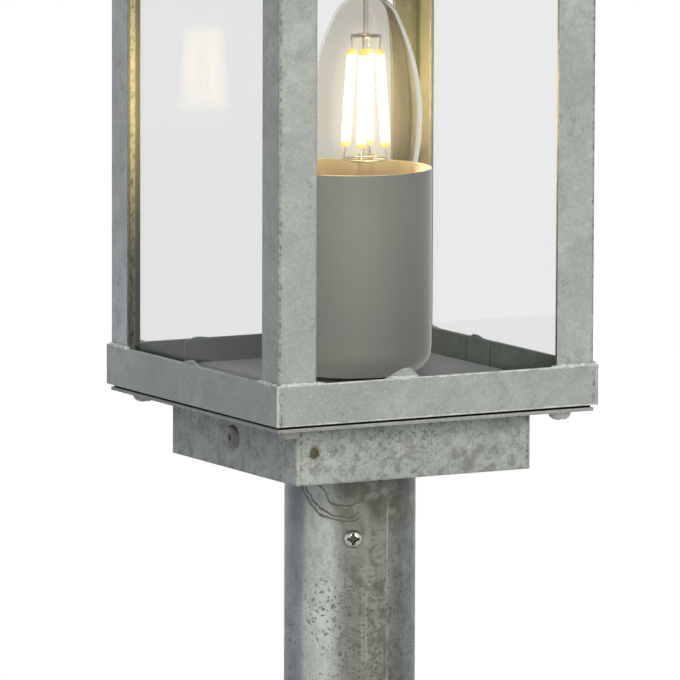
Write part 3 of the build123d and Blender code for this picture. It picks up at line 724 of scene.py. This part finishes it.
@dataclass(frozen=True)
class GlassFinish:
    """Clear glass that lets the lamps through, with faint waves and dust, and where asked a painted glow."""

    name: str
    tint: Colour
    index: float = 1.46
    waves: float = 0.02
    ends: float = 0.0
    end_blend: float = 0.6 * MM
    end_tint: Colour = (0.55, 0.62, 0.53)
    # A painted glow in the glass round the filaments' height: its colour, power and heights.
    painted_glow: Colour = (1.0, 0.81, 0.53)
    painted_glow_power: float = 0.0
    painted_glow_from: float = 0.0
    painted_glow_to: float = 0.0
    painted_glow_blend: float = 9.0 * MM

    def material(self) -> Material:
        """Makes the material.

        Returns:
            The material.
        """
        bench = NodeBench(self.name)
        tint = self.tint
        if self.ends:
            end = bench.span(bench.corner(bench.place), self.ends, self.ends + self.end_blend)
            tint = bench.mix(end, self.tint, self.end_tint)
        glass = bench.add(
            "ShaderNodeBsdfPrincipled",
            Base_Color=tint,
            Roughness=bench.marks(520.0, 3.0, (0.55, 0.85, 0.0, 0.006)),
            IOR=self.index,
            Normal=bench.bump(bench.noise(24.0, 1.0), self.waves, 0.2 * MM),
            Transmission_Weight=1.0,
        ).outputs[0]
        clear = bench.add("ShaderNodeBsdfTransparent", Color=self.tint).outputs[0]
        mixed = bench.add("ShaderNodeMixShader", bench.rays("Shadow", "Diffuse"), glass, clear)
        return bench.surface(self.lit(bench, mixed) if self.painted_glow_power else mixed)

    def lit(self, bench: NodeBench, glass: bpy.types.Node) -> bpy.types.Node:
        """Glass with a painted glow at the filaments' height, strongest where the glass faces the viewer.

        Args:
            bench: The material's nodes.
            glass: The clear glass.

        Returns:
            The lit glass.
        """
        height = bench.height()
        low = bench.span(height, self.painted_glow_from - self.painted_glow_blend, self.painted_glow_from + 0.4 * self.painted_glow_blend)
        high = bench.span(height, self.painted_glow_to + self.painted_glow_blend, self.painted_glow_to - 0.4 * self.painted_glow_blend)
        facing = bench.add("ShaderNodeLayerWeight", Blend=0.5).outputs["Facing"]
        power = bench.span(facing, 0.0, 0.24, self.painted_glow_power, 0.22 * self.painted_glow_power)
        painted_glow = bench.add("ShaderNodeEmission", Color=self.painted_glow, Strength=bench.times(power, low, high))
        return bench.add("ShaderNodeAddShader", glass.outputs[0], painted_glow.outputs[0])


@dataclass(frozen=True)
class FilamentFinish:
    """A lit filament: white hot along its length, with yellow ends."""

    name: str
    low_end: float
    high_end: float
    end_length: float = 1.3 * MM
    blend: float = 2.4 * MM
    hot: Colour = (1.0, 0.80, 0.47)
    end: Colour = (0.074, 0.053, 0.009)
    coating: Colour = (0.85, 0.62, 0.16)
    strength: float = 12.0

    def material(self) -> Material:
        """Makes the material.

        Returns:
            The material.
        """
        bench = NodeBench(self.name)
        height = bench.height()
        low = self.low_end + self.end_length
        high = self.high_end - self.end_length
        above = bench.span(height, low, low + self.blend)
        below = bench.span(height, high, high - self.blend)
        return bench.painted(
            Base_Color=self.coating,
            Roughness=0.5,
            Emission_Color=bench.mix(bench.times(above, below), self.end, self.hot),
            Emission_Strength=self.strength,
        )


PLAIN_FINISHES = {
    "runs": GalvanisedFinish("zinc runs", (0.86, 0.88, 0.84), (0.70, 0.72, 0.68), pits=0.2, gloss=0.8),
    "bright": MetalFinish("plated screws", (0.56, 0.55, 0.52), (0.38, 0.365, 0.33)),
    "dull": CoatFinish("dull screws", (0.21, 0.21, 0.195), (0.10, 0.096, 0.08), 0.3, 0.42),
    "zinc": CoatFinish("zinc screws", (0.52, 0.53, 0.50), (0.30, 0.285, 0.24), 0.2, 0.35),
    "dross": CoatFinish("vent dross", (0.075, 0.064, 0.029), (0.035, 0.030, 0.017), grain=900.0),
    "washer": CoatFinish("dark washers", (0.06, 0.06, 0.058), (0.04, 0.04, 0.038)),
    "recess": CoatFinish("screw recess", (0.050, 0.041, 0.026), (0.026, 0.021, 0.014)),
    "floor": CoatFinish(
        "floor paint",
        (0.475, 0.492, 0.475),
        (0.45, 0.467, 0.452),
        gloss=0.2,
        # Painted light: the floor paint is made lighter overall than the cup's grey paint, and lighter still
        # towards its left side.
        painted_light_from=-40.0 * MM,
        painted_light_to=25.0 * MM,
        painted_light=1.40,
    ),
    # Near-black and dull: on the base gasket this also stands in for the dark shadow gap under the rails, as
    # painted shade.
    "rubber": CoatFinish("black rubber", (0.006, 0.006, 0.006), (0.012, 0.012, 0.012), gloss=0.06),
    "ceramic": CoatFinish("holder glaze", (0.72, 0.70, 0.65), (0.62, 0.60, 0.55), 0.16, 0.28),
    "plastic": CoatFinish("white plastic", (0.76, 0.75, 0.72), (0.69, 0.68, 0.64), 0.32, 0.44),
    "brown_lead": CoatFinish("brown lead", (0.16, 0.065, 0.03), (0.12, 0.05, 0.025)),
    "blue_lead": CoatFinish("blue lead", (0.03, 0.10, 0.36), (0.025, 0.08, 0.28)),
    "green_lead": CoatFinish("green lead", (0.10, 0.30, 0.045), (0.38, 0.36, 0.03)),
    "insulator": CoatFinish("black insulator", (0.02, 0.02, 0.022), (0.035, 0.033, 0.03), 0.2, 0.32),
    "brass": MetalFinish("brass", (0.72, 0.52, 0.22), (0.55, 0.38, 0.15)),
    "nickel": MetalFinish("nickel", (0.72, 0.70, 0.66), (0.58, 0.56, 0.52), 0.14, 0.26),
    "pane": GlassFinish("pane glass", (0.905, 0.911, 0.908), 1.2, ends=PANE_END),
    # The left pane's darker tint is painted shade, for the darker reflection and the loss of light at its
    # slant.
    "dusty_pane": GlassFinish("shaded pane glass", (0.848, 0.85, 0.85), 1.2, ends=PANE_END),
}


class FinishSet:
    """Every finish of the light, made once."""

    def __init__(self) -> None:
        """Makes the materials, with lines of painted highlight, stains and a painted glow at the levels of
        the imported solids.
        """
        box_low, box_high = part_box("junction_cover")
        lower_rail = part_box("lower_rail_front")
        upper_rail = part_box("upper_rail_front")
        filament_low, filament_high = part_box("filaments")
        cage = GalvanisedFinish(
            "galvanised cage",
            pits=0.3,
            half=lower_rail[1].x,
            # Painted shade on the inner faces, less on the side faces.
            inside_painted_shade=(0.24, 0.235, 0.22),
            side_inside_painted_shade=(0.40, 0.40, 0.40),
            inside_gloss=1.0,
            inside_polish=0.55,
        )
        fitted = {
            "cage": cage,
            # The far post: a lighter, bluer copy of the cage zinc as painted light, with less painted shade
            # inside and a painted shadow line along its inner edges.
            "far_cage": replace(
                cage,
                name="galvanised far post lit copy",
                pale=(0.53, 0.567, 0.568),
                dull=(0.40, 0.432, 0.432),
                inside_painted_shade=(0.56, 0.55, 0.54),
                inside_edge=-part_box("corner_post_back_left")[1].x,
            ),
            "rail": GalvanisedFinish(
                "galvanised rails",
                pale=(0.405, 0.425, 0.396),
                dull=(0.31, 0.328, 0.308),
                pits=0.25,
                half=lower_rail[1].x,
                edge_heights=tuple(corner.z for corner in (*lower_rail, *upper_rail)),
                # Painted shade on the inner faces of the front and back rails; the side rails stay nearly as
                # bright.
                inside_painted_shade=(0.275, 0.315, 0.325),
                side_inside_painted_shade=(0.95, 1.0, 0.92),
            ),
            "box": BoxFinish(
                "galvanised box",
                pale=(0.452, 0.474, 0.442),
                dull=(0.316, 0.338, 0.320),
                pits=0.8,
                pits_from=0.34,
                pit_scale=1100.0,
                half=box_high.x,
                tide_lines=0.7,
                line_scale=170.0,
                stained_from=box_low.z,
                stained_to=box_high.z,
                vent=(box_low.x + VENT_FROM_CORNER, box_low.y, box_low.z + VENT_RISE),
            ),
            "post": PostFinish(
                "galvanised post",
                pale=(0.475, 0.497, 0.472),
                dull=(0.345, 0.363, 0.345),
                pits=0.85,
                streaks=0.5,
                top=box_low.z,
            ),
            "paint": CoatFinish(
                "grey paint",
                (0.248, 0.250, 0.228),
                (0.236, 0.239, 0.220),
                0.5,
                0.62,
                sheen=0.7,
                gloss=0.2,
                # Painted light: the cup is lighter towards its left side.
                painted_light_from=-17.0 * MM,
                painted_light_to=8.0 * MM,
                painted_light=1.32,
                # Painted shade: the cup darker towards its foot and on its inner faces.
                foot=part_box("lamp_cup")[0].z,
                foot_height=50.0 * MM,
                foot_shade=0.80,
                inside_shade=0.53,
            ),
            "bulb_glass": GlassFinish(
                "bulb glass",
                (0.777, 0.763, 0.72),
                1.11,
                0.05,
                # Painted glow in the bulb glass round the filaments.
                painted_glow_power=0.16,
                painted_glow_from=filament_low.z,
                painted_glow_to=filament_high.z,
            ),
            "filament": FilamentFinish("lit filament", filament_low.z, filament_high.z),
        }
        self.skins = {key: finish.material() for key, finish in (PLAIN_FINISHES | fitted).items()}

    def dress(self, **nodes: tuple[str, ...]) -> None:
        """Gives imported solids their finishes.

        Args:
            nodes: The names of the nodes, by finish.
        """
        for key, names in nodes.items():
            for name in names:
                for slot in frame["nodes"][name].material_slots:
                    slot.material = self.skins[key]
                LOG.info("dressed %s with %s", name, self.skins[key].name)


# Shapes, lamps and pieces


def close_up(mesh: Shape) -> None:
    """Merges doubled points of a mesh and turns its faces outwards."""
    bmesh.ops.remove_doubles(mesh, verts=mesh.verts, dist=SAME_POINT)
    bmesh.ops.recalc_face_normals(mesh, faces=mesh.faces)


def spin(mesh: Shape, steps: int) -> None:
    """Turns an outline about Z into a closed shape.

    Args:
        mesh: The outline, which becomes the shape.
        steps: Faces round the shape.
    """
    bmesh.ops.spin(
        mesh,
        geom=mesh.verts[:] + mesh.edges[:],
        axis=(0, 0, 1),
        cent=(0, 0, 0),
        angle=math.tau,
        steps=steps,
        use_merge=True,
    )
    close_up(mesh)


def settle(mesh: Shape, name: str, materials: list[Material | None]) -> bpy.types.Mesh:
    """Turns a bmesh into mesh data.

    Args:
        mesh: The shape; it is freed.
        name: The data's name.
        materials: The finishes, in the order of the faces' indices.

    Returns:
        The data.
    """
    data = bpy.data.meshes.new(name)
    mesh.to_mesh(data)
    mesh.free()
    for material in materials:
        data.materials.append(material)
    return data


def put(data: bpy.types.ID) -> bpy.types.Object:
    """Puts an object into the scene.

    Args:
        data: The object's mesh, lamp or camera, which also names it.

    Returns:
        The object.
    """
    made = bpy.data.objects.new(data.name, data)
    bpy.context.scene.collection.objects.link(made)
    return made


def hang(
    name: str, kind: str, place: Vector, way: Vector, mirrored: bool, **settings: float | str | Colour
) -> bpy.types.Object:
    """Hangs a lamp that the camera does not see.

    Args:
        name: The lamp's name.
        kind: Its type.
        place: Where it hangs.
        way: Which way it shines.
        mirrored: Whether it shows in shiny faces and through glass.
        settings: Its other settings.

    Returns:
        The lamp.
    """
    data = bpy.data.lights.new(name, kind)
    for setting, value in settings.items():
        setattr(data, setting, value)
    lamp = put(data)
    lamp.matrix_world = Matrix.Translation(place) @ way.to_track_quat("-Z", "Y").to_matrix().to_4x4()
    lamp.visible_camera = False
    lamp.visible_glossy = mirrored
    lamp.visible_transmission = mirrored
    return lamp


def join(mesh: Shape, other: Shape) -> None:
    """Adds one bmesh to another.

    Args:
        mesh: The mesh that grows.
        other: The mesh that is added; it is freed.
    """
    data = settle(other, "joined", [])
    mesh.from_mesh(data)
    bpy.data.meshes.remove(data)


def piece(
    mesh: Shape,
    name: str,
    body: Body,
    materials: list[Material],
    stands_for: tuple[str, ...] = (),
) -> bpy.types.Object:
    """Turns a bmesh into a piece that rides on a body.

    Args:
        mesh: The shape, in the frame; it is freed.
        name: The piece's name.
        body: The body it rides on.
        materials: The finishes, in the order of the faces' indices.
        stands_for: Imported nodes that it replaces.

    Returns:
        The object.
    """
    data = settle(mesh, name, materials)
    data.shade_smooth()
    data.set_sharp_from_angle(angle=SHARP_ANGLE)
    made = put(data)
    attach(made, body.value)
    if stands_for:
        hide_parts(*stands_for)
    LOG.info("built %s with %d faces", name, len(data.polygons))
    return made


@dataclass(frozen=True)
class CrossScrews:
    """A set of like pan-head screws with cross recesses.

    Each slot of the recess has a turn in degrees, and a length and a width as shares of the head.
    """

    node: str
    head: float
    head_height: float
    shank: float
    length: float
    face: ScrewFace = ScrewFace.BRIGHT
    dish: float = 0.0
    slots: tuple[Triple, ...] = ((0.0, 0.86, 0.20), (90.0, 0.86, 0.20), (45.0, 0.51, 0.51))
    slot_floor: float = 0.30
    slot_top: float = 1.4
    slot_narrows: float = 0.55
    rim_share: float = 0.22
    dish_depth: float = 0.45
    dish_floor: float = 0.86
    dome_power: float = 0.7
    dome_steps: int = 9
    steps: int = 40

    def blank(self) -> Shape:
        """Turns one screw about Z, seated at the origin with its head up.

        Returns:
            The screw without its recess.
        """
        mesh = bmesh.new()
        rim = self.rim_share * self.head_height
        neck = self.shank / 2
        outline = [(0.0, -self.length), (neck, -self.length), (neck, 0.0), (self.head / 2, 0.0)]
        for step in range(self.dome_steps):
            lean = math.pi / 2 * step / self.dome_steps
            reach = math.cos(lean) ** self.dome_power
            outline.append((self.head / 2 * reach, rim + (self.head_height - rim) * math.sin(lean)))
        outline.append((0.0, self.head_height))
        if self.dish:
            inner = next(place for place in outline[4:] if place[0] < self.head / 2 * self.dish)
            floor = inner[1] - self.dish_depth * self.head_height
            outline = outline[: outline.index(inner) + 1]
            outline += [(self.dish_floor * inner[0], floor), (0.0, floor)]
        points = [mesh.verts.new((across, 0.0, up)) for across, up in outline]
        for first, second in zip(points, points[1:]):
            mesh.edges.new((first, second))
        spin(mesh, self.steps)
        return mesh

    def cutter(self, turn: float, reach: float, width: float) -> bpy.types.Object:
        """One slot of the cross or its middle, wider at the top than at its floor.

        Args:
            turn: Turn about Z, in degrees.
            reach: Length as a share of the head's width.
            width: Width as a share of the head's width.

        Returns:
            A helper object with second-finish faces.
        """
        mesh = bmesh.new()
        bmesh.ops.create_cube(mesh, size=1.0)
        for corner in mesh.verts:
            top = corner.co.z > 0
            spread = self.head * (1.0 if top else self.slot_narrows)
            corner.co.x *= reach * spread
            corner.co.y *= width * spread
            corner.co.z = self.head_height * (self.slot_top if top else self.slot_floor)
        bmesh.ops.rotate(mesh, verts=mesh.verts, matrix=Matrix.Rotation(math.radians(turn), 3, "Z"))
        for face in mesh.faces:
            face.material_index = 1
        return put(settle(mesh, "recess", [None, None]))

    def cut(self) -> bpy.types.Mesh:
        """Cuts the recess into the blank.

        Returns:
            One finished screw at the origin.
        """
        helper = put(settle(self.blank(), "screw", [None, None]))
        tools = [self.cutter(*slot) for slot in self.slots]
        for tool in tools:
            cut = helper.modifiers.new("recess", "BOOLEAN")
            cut.operation = "DIFFERENCE"
            cut.solver = "EXACT"
            cut.object = tool
        view = bpy.context.evaluated_depsgraph_get()
        finished = bpy.data.meshes.new_from_object(helper.evaluated_get(view))
        for used in [helper, *tools]:
            bpy.data.objects.remove(used)
        return finished

    def build(self, finishes: FinishSet, seats: list[tuple[Vector, Vector]]) -> None:
        """Places a screw at every seat.

        Args:
            finishes: The light's finishes.
            seats: Where each head sits and which way it looks.
        """
        one = self.cut()
        mesh = bmesh.new()
        for place, outwards in seats:
            before = len(mesh.verts)
            mesh.from_mesh(one)
            mesh.verts.ensure_lookup_table()
            turn = outwards.to_track_quat("Z", "Y").to_matrix().to_4x4()
            bmesh.ops.transform(mesh, matrix=Matrix.Translation(place) @ turn, verts=mesh.verts[before:])
        skins = [finishes.skins[self.face.value], finishes.skins["recess"]]
        piece(mesh, self.node + "_turned", Body.BASE, skins, (self.node,))


# The light, from the foot up


@dataclass
class Foot:
    """The foot plate with its weld, the post and the post's screws."""

    post_radius: float = 20.0 * MM
    weld_inset: float = 1.05 * MM
    weld_radius: float = 2.17 * MM
    weld_sides: int = 14
    weld_steps: int = 220
    ripple: float = 0.22 * MM
    ripples: int = 62
    ripple_drift: float = 1.4
    ripple_drifts: int = 3
    screw_turn: float = -26.0
    screw_drop: float = 21.0 * MM
    screws: CrossScrews = CrossScrews(
        "post_screws", head=5.6 * MM, head_height=2.0 * MM, shank=3.0 * MM, length=5.5 * MM
    )

    def weld(self) -> Shape:
        """A rippled bead round the foot of the post.

        Returns:
            The bead.
        """
        plate_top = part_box("post_tube")[0].z
        mesh = bmesh.new()
        centre = Vector((self.post_radius + self.weld_inset, 0.0, plate_top + self.weld_inset))
        upright = Matrix.Translation(centre) @ Matrix.Rotation(math.pi / 2, 4, "X")
        bmesh.ops.create_circle(mesh, segments=self.weld_sides, radius=self.weld_radius, matrix=upright)
        spin(mesh, self.weld_steps)
        for point in mesh.verts:
            around = math.atan2(point.co.y, point.co.x)
            spine = Vector((math.cos(around) * centre.x, math.sin(around) * centre.x, centre.z))
            drift = self.ripple_drift * math.sin(self.ripple_drifts * around)
            swell = self.ripple * math.sin(self.ripples * around + drift)
            point.co += (point.co - spine).normalized() * swell
        return mesh

    def build(self, finishes: FinishSet) -> None:
        """Builds and dresses the foot, the post and its screws.

        Args:
            finishes: The light's finishes.
        """
        finishes.dress(post=("foot_plate", "post_tube", "post_spigot"), rubber=("cable_grommet",))
        piece(self.weld(), "post_weld", Body.BASE, [finishes.skins["cage"]])
        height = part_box("junction_cover")[0].z - self.screw_drop
        seats = []
        for turn in (self.screw_turn, self.screw_turn + 180.0):
            lean = math.radians(turn)
            outwards = Vector((math.sin(lean), -math.cos(lean), 0.0))
            seats.append((outwards * self.post_radius + Vector((0, 0, height)), outwards))
        self.screws.build(finishes, seats)


@dataclass
class JunctionBox:
    """The shallow box on the post with its bracket, plate, screws and wiring."""

    half: float = 40.4 * MM
    side_screw_rise: float = 9.8 * MM
    side_screws: CrossScrews = CrossScrews(
        "side_screws",
        head=7.4 * MM,
        head_height=1.3 * MM,
        shank=4.0 * MM,
        length=5.6 * MM,
        face=ScrewFace.DULL,
        dish=0.45,
        slots=(),
    )
    corner_pitch: float = 93.0 * MM
    corner_screws: CrossScrews = CrossScrews(
        "corner_screws",
        head=7.0 * MM,
        head_height=3.2 * MM,
        shank=3.4 * MM,
        length=6.0 * MM,
        face=ScrewFace.ZINC,
    )
    vent_depth: float = 0.25 * MM
    lump_radius: float = 1.728 * MM
    lump_flatness: float = 0.25
    lump_swell: float = 0.7
    lumps_a_metre: float = 900.0

    def dross(self) -> Shape:
        """Lumps of brown dross that clog the two vents.

        Returns:
            Both lumps.
        """
        mesh = bmesh.new()
        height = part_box("junction_cover")[0].z + VENT_RISE
        for way in (-1.0, 1.0):
            own = bmesh.new()
            bmesh.ops.create_icosphere(own, subdivisions=4, radius=self.lump_radius)
            for point in own.verts:
                place = point.co * self.lumps_a_metre + Vector((way, 0.0, 0.0))
                point.co *= 1.0 + self.lump_swell * noise.noise(place)
                point.co.y *= self.lump_flatness
            across = way * (self.half - VENT_FROM_CORNER)
            out = way * (self.half - self.vent_depth)
            bmesh.ops.translate(own, verts=own.verts, vec=(across, out, height))
            join(mesh, own)
        close_up(mesh)
        return mesh

    def build(self, finishes: FinishSet) -> None:
        """Builds and dresses the box.

        Args:
            finishes: The light's finishes.
        """
        finishes.dress(
            box=("junction_cover",),
            rail=("top_bracket", "mounting_plate"),
            # The base gasket is a real seal, but its near-black rubber also stands for the shadow gap under
            # the rails: painted shade.
            rubber=("base_gasket",),
            plastic=("terminal_block",),
            bright=("terminal_screws", "earth_screw", "nipple_nuts"),
            brass=("threaded_nipple",),
            washer=("nipple_spacer",),
            brown_lead=("live_lead",),
            blue_lead=("neutral_lead",),
            green_lead=("earth_lead",),
        )
        piece(self.dross(), "vent_dross", Body.BASE, [finishes.skins["dross"]])
        ways = (-1.0, 1.0)
        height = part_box("junction_cover")[0].z + self.side_screw_rise
        sides = [(Vector((way * self.half, 0.0, height)), Vector((way, 0.0, 0.0))) for way in ways]
        self.side_screws.build(finishes, sides)
        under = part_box("mounting_plate")[0].z
        reach = self.corner_pitch / 2
        down = Vector((0.0, 0.0, -1.0))
        corners = [(Vector((x * reach, y * reach, under)), down) for x in ways for y in ways]
        self.corner_screws.build(finishes, corners)


@dataclass
class Lantern:
    """The glazed cage with its roof, and the zinc runs where its posts are joined."""

    half: float = 55.0 * MM
    rail_thickness: float = 1.0 * MM
    front_leg: float = 12.7 * MM
    side_leg: float = 10.4 * MM
    run_radius: float = 0.85 * MM
    run_over: float = 2.5 * MM
    run_sides: int = 12
    run_cuts: int = 16
    run_girth: float = 0.80
    run_swell: float = 0.30
    run_tip: float = 0.25

    def leg(self, side: Side) -> float:
        """The width of a corner post's leg on one side of the lantern."""
        return self.front_leg if side is Side.FRONT else self.side_leg

    def run(self, mesh: Shape, start: Vector, end: Vector, seed: float) -> None:
        """Lays one uneven run of zinc.

        Args:
            mesh: The mesh that it joins.
            start: Where it starts.
            end: Where it ends.
            seed: Sets how it swells.
        """
        along = end - start
        direction = along.normalized()
        own = bmesh.new()
        bmesh.ops.create_cone(
            own,
            cap_ends=True,
            segments=self.run_sides,
            radius1=self.run_radius,
            radius2=self.run_radius,
            depth=along.length,
            matrix=Matrix.Translation((start + end) / 2) @ along.to_track_quat("Z", "Y").to_matrix().to_4x4(),
        )
        long_edges = [edge for edge in own.edges if edge.calc_length() > 0.99 * along.length]
        bmesh.ops.subdivide_edges(own, edges=long_edges, cuts=self.run_cuts)
        for point in own.verts:
            share = (point.co - start).dot(direction) / along.length
            spine = start + along * share
            waves = math.sin(9.0 * share + 5.1 * seed) * math.sin(17.0 * share + 2.3 * seed)
            taper = math.sqrt(max(0.0, 1.0 - (2.0 * share - 1.0) ** 6))
            girth = (self.run_girth + self.run_swell * waves) * (self.run_tip + (1.0 - self.run_tip) * taper)
            point.co = spine + (point.co - spine) * girth
        join(mesh, own)

    def zinc_runs(self) -> Shape:
        """Runs of zinc along the feet and heads of the corner posts' legs.

        Returns:
            All the runs.
        """
        mesh = bmesh.new()
        seed = 0.0
        outer = self.half - self.rail_thickness
        ledge = self.half - 0.5 * self.rail_thickness
        for level in (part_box("lower_rail_front")[1].z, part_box("upper_rail_front")[0].z):
            for side in Side:
                lift = Vector((*side.value, 0.0)) * ledge + Vector((0.0, 0.0, level))
                across = Vector((-side.value[1], side.value[0], 0.0))
                for hand in (-1.0, 1.0):
                    seed += 1.0
                    start = lift + across * hand * outer
                    end = lift + across * hand * (outer - self.leg(side) - self.run_over)
                    self.run(mesh, start, end, seed)
        close_up(mesh)
        return mesh

    def build(self, finishes: FinishSet) -> None:
        """Builds and dresses the lantern.

        Args:
            finishes: The light's finishes.
        """
        sides = ("front", "back", "left", "right")
        rails = [f"{level}_rail_{side}" for level in ("lower", "upper") for side in sides]
        finishes.dress(
            rail=(*rails, "corner_tabs", "lower_glass_clips", "upper_glass_clips", "roof_cap"),
            cage=tuple(f"corner_post_{corner}" for corner in ("front_left", "front_right", "back_right")),
            far_cage=("corner_post_back_left",),
            pane=tuple(f"glass_pane_{side}" for side in ("front", "back", "right")),
            # The left pane has the darker glass, as painted shade.
            dusty_pane=("glass_pane_left",),
        )
        piece(self.zinc_runs(), "zinc_runs", Body.LANTERN, [finishes.skins["runs"]])


@dataclass
class Lamp:
    """The cup, the lampholder and the candle bulb, which lights the lantern."""

    offset: float = 4.6 * MM
    glow_height: float = 388.0 * MM
    glow_power: float = 1.05
    glow_radius: float = 7.0 * MM
    glow_colour: Colour = (1.0, 0.70, 0.40)
    beam_power: float = 0.070
    beam_colour: Colour = (1.0, 0.75, 0.34)
    beam_spread: float = 70.0
    beam_length: float = 28.0 * MM
    beam_reach: float = 9.1 * MM
    beam_turns: tuple[float, ...] = (45.0, 135.0, 225.0, 315.0)

    def build(self, finishes: FinishSet) -> None:
        """Dresses the floor, the cup, the holder and the bulb, and lights it.

        Args:
            finishes: The light's finishes.
        """
        finishes.dress(
            paint=("lamp_cup",),
            floor=("floor_pan",),
            ceramic=("lampholder_body",),
            brass=("lampholder_shell", "centre_contact"),
            bulb_glass=("bulb_envelope", "bulb_stem"),
            filament=("filaments",),
            nickel=("filament_wires", "bulb_cap", "foot_contact"),
            insulator=("cap_insulator",),
        )
        self.glow()

    def glow(self) -> None:
        """Lights the lantern's inside from the bulb, with lamps that move with it and are not seen."""
        middle = Vector((self.offset, 0.0, self.glow_height))
        glow = dict(energy=self.glow_power, color=self.glow_colour, shadow_soft_size=self.glow_radius)
        lamps = [hang("bulb glow", "POINT", middle, Vector((0.0, 0.0, -1.0)), False, **glow)]
        beam = dict(
            shape="RECTANGLE",
            size=self.glow_radius,
            size_y=self.beam_length,
            energy=self.beam_power,
            color=self.beam_colour,
            spread=math.radians(self.beam_spread),
        )
        for turn in self.beam_turns:
            outwards = Vector((math.cos(math.radians(turn)), math.sin(math.radians(turn)), 0.0))
            place = middle + outwards * self.beam_reach
            lamps.append(hang("bulb beam", "AREA", place, outwards, False, **beam))
        for lamp in lamps:
            lamp.parent = frame["bodies"][Body.BULB.value]


# The studio


@dataclass(frozen=True)
class SoftBox:
    """One large soft lamp."""

    name: str
    place: Triple
    side: float
    power: float
    colour: Colour = WHITE
    mirrored: bool = True

    def build(self, aim: Vector) -> None:
        """Sets the lamp up facing a point.

        Args:
            aim: The point.
        """
        place = Vector(self.place)
        light = dict(shape="SQUARE", size=self.side, energy=self.power, color=self.colour)
        hang(self.name, "AREA", place, aim - place, self.mirrored, **light)


@dataclass
class Studio:
    """White studio: pale floor, soft lamps and the camera."""

    floor_radius: float = 1.1
    floor_sides: int = 96
    floor_rim: float = 0.02
    floor_drop: float = 0.5 * MM
    floor_glow: float = 0.22
    paper: tuple[Colour, Colour] = ((0.80, 0.80, 0.80), (0.83, 0.83, 0.83))
    ambient: Colour = (0.163, 0.183, 0.236)
    aim: Triple = (0.0, 0.0, 0.33)
    lamps: tuple[SoftBox, ...] = (
        SoftBox("key lamp", (-0.85, -2.9, 1.25), 1.5, 82.0, (1.0, 0.995, 0.89)),
        SoftBox("fill lamp", (1.9, 2.3, 0.40), 0.7, 26.0, (1.0, 0.985, 0.90), False),
    )
    azimuth: float = 28.789
    pitch: float = 7.490
    roll: float = 0.201
    distance: float = 2.635
    pixels_a_metre: float = 3289.5
    aim_side: float = -3.20 * MM
    aim_height: float = 314.51 * MM
    sensor: float = 36.0
    clip_end: float = 60.0

    def floor(self) -> None:
        """Lays a round pale floor that keeps the object's shadow."""
        bench = NodeBench("pale floor")
        paper = bench.mix(bench.noise(30.0, 3.0), *self.paper)
        diffuse = bench.add("ShaderNodeBsdfDiffuse", Color=paper).outputs[0]
        power = bench.times(bench.rays("Camera", "Glossy", "Transmission"), self.floor_glow)
        glow = bench.add("ShaderNodeEmission", Color=WHITE, Strength=power).outputs[0]
        both = bench.add("ShaderNodeAddShader", diffuse, glow)
        mesh = bmesh.new()
        bmesh.ops.create_circle(mesh, cap_ends=True, segments=self.floor_sides, radius=self.floor_radius)
        bmesh.ops.inset_region(mesh, faces=mesh.faces[:], thickness=self.floor_rim)
        floor = put(settle(mesh, "floor", [bench.surface(both)]))
        floor.location.z = -self.floor_drop

    def world(self) -> None:
        """Makes a world that is white to look at and a soft grey as a light."""
        bench = NodeBench("studio", "worlds")
        soft = bench.add("ShaderNodeBackground", Color=self.ambient).outputs[0]
        white = bench.add("ShaderNodeBackground", Color=WHITE).outputs[0]
        seen = bench.rays("Camera", "Glossy", "Transmission")
        mixed = bench.add("ShaderNodeMixShader", seen, soft, white)
        bpy.context.scene.world = bench.surface(mixed, "World")

    def camera(self) -> None:
        """Sets the camera where the photograph was taken from."""
        turn, lean, roll = (math.radians(angle) for angle in (self.azimuth, self.pitch, self.roll))
        sight = Vector((math.sin(turn) * math.cos(lean), math.cos(turn) * math.cos(lean), -math.sin(lean)))
        right = Vector((math.cos(turn), -math.sin(turn), 0.0))
        up = right.cross(sight)
        across = right * math.cos(roll) + up * math.sin(roll)
        above = up * math.cos(roll) - right * math.sin(roll)
        data = bpy.data.cameras.new("camera")
        data.sensor_width = self.sensor
        data.lens = self.pixels_a_metre * self.distance * self.sensor / IMAGE_SIDE
        data.clip_end = self.clip_end
        camera = put(data)
        target = right * self.aim_side + Vector((0.0, 0.0, self.aim_height))
        turned = Matrix((across, above, -sight)).transposed().to_4x4()
        camera.matrix_world = Matrix.Translation(target - sight * self.distance) @ turned
        bpy.context.scene.camera = camera

    def build(self) -> None:
        """Sets up the whole studio."""
        bpy.context.scene.view_settings.view_transform = "Standard"
        self.floor()
        self.world()
        for lamp in self.lamps:
            lamp.build(Vector(self.aim))
        self.camera()
        LOG.info("studio set with %d lamps", len(self.lamps))


def main() -> None:
    """Builds the light from the foot up, then the studio."""
    logging.basicConfig(level=logging.INFO, format="%(name)s: %(message)s")
    finishes = FinishSet()
    for assembly in (Foot(), JunctionBox(), Lantern(), Lamp()):
        assembly.build(finishes)
    Studio().build()


if __name__ == "__main__":
    main()
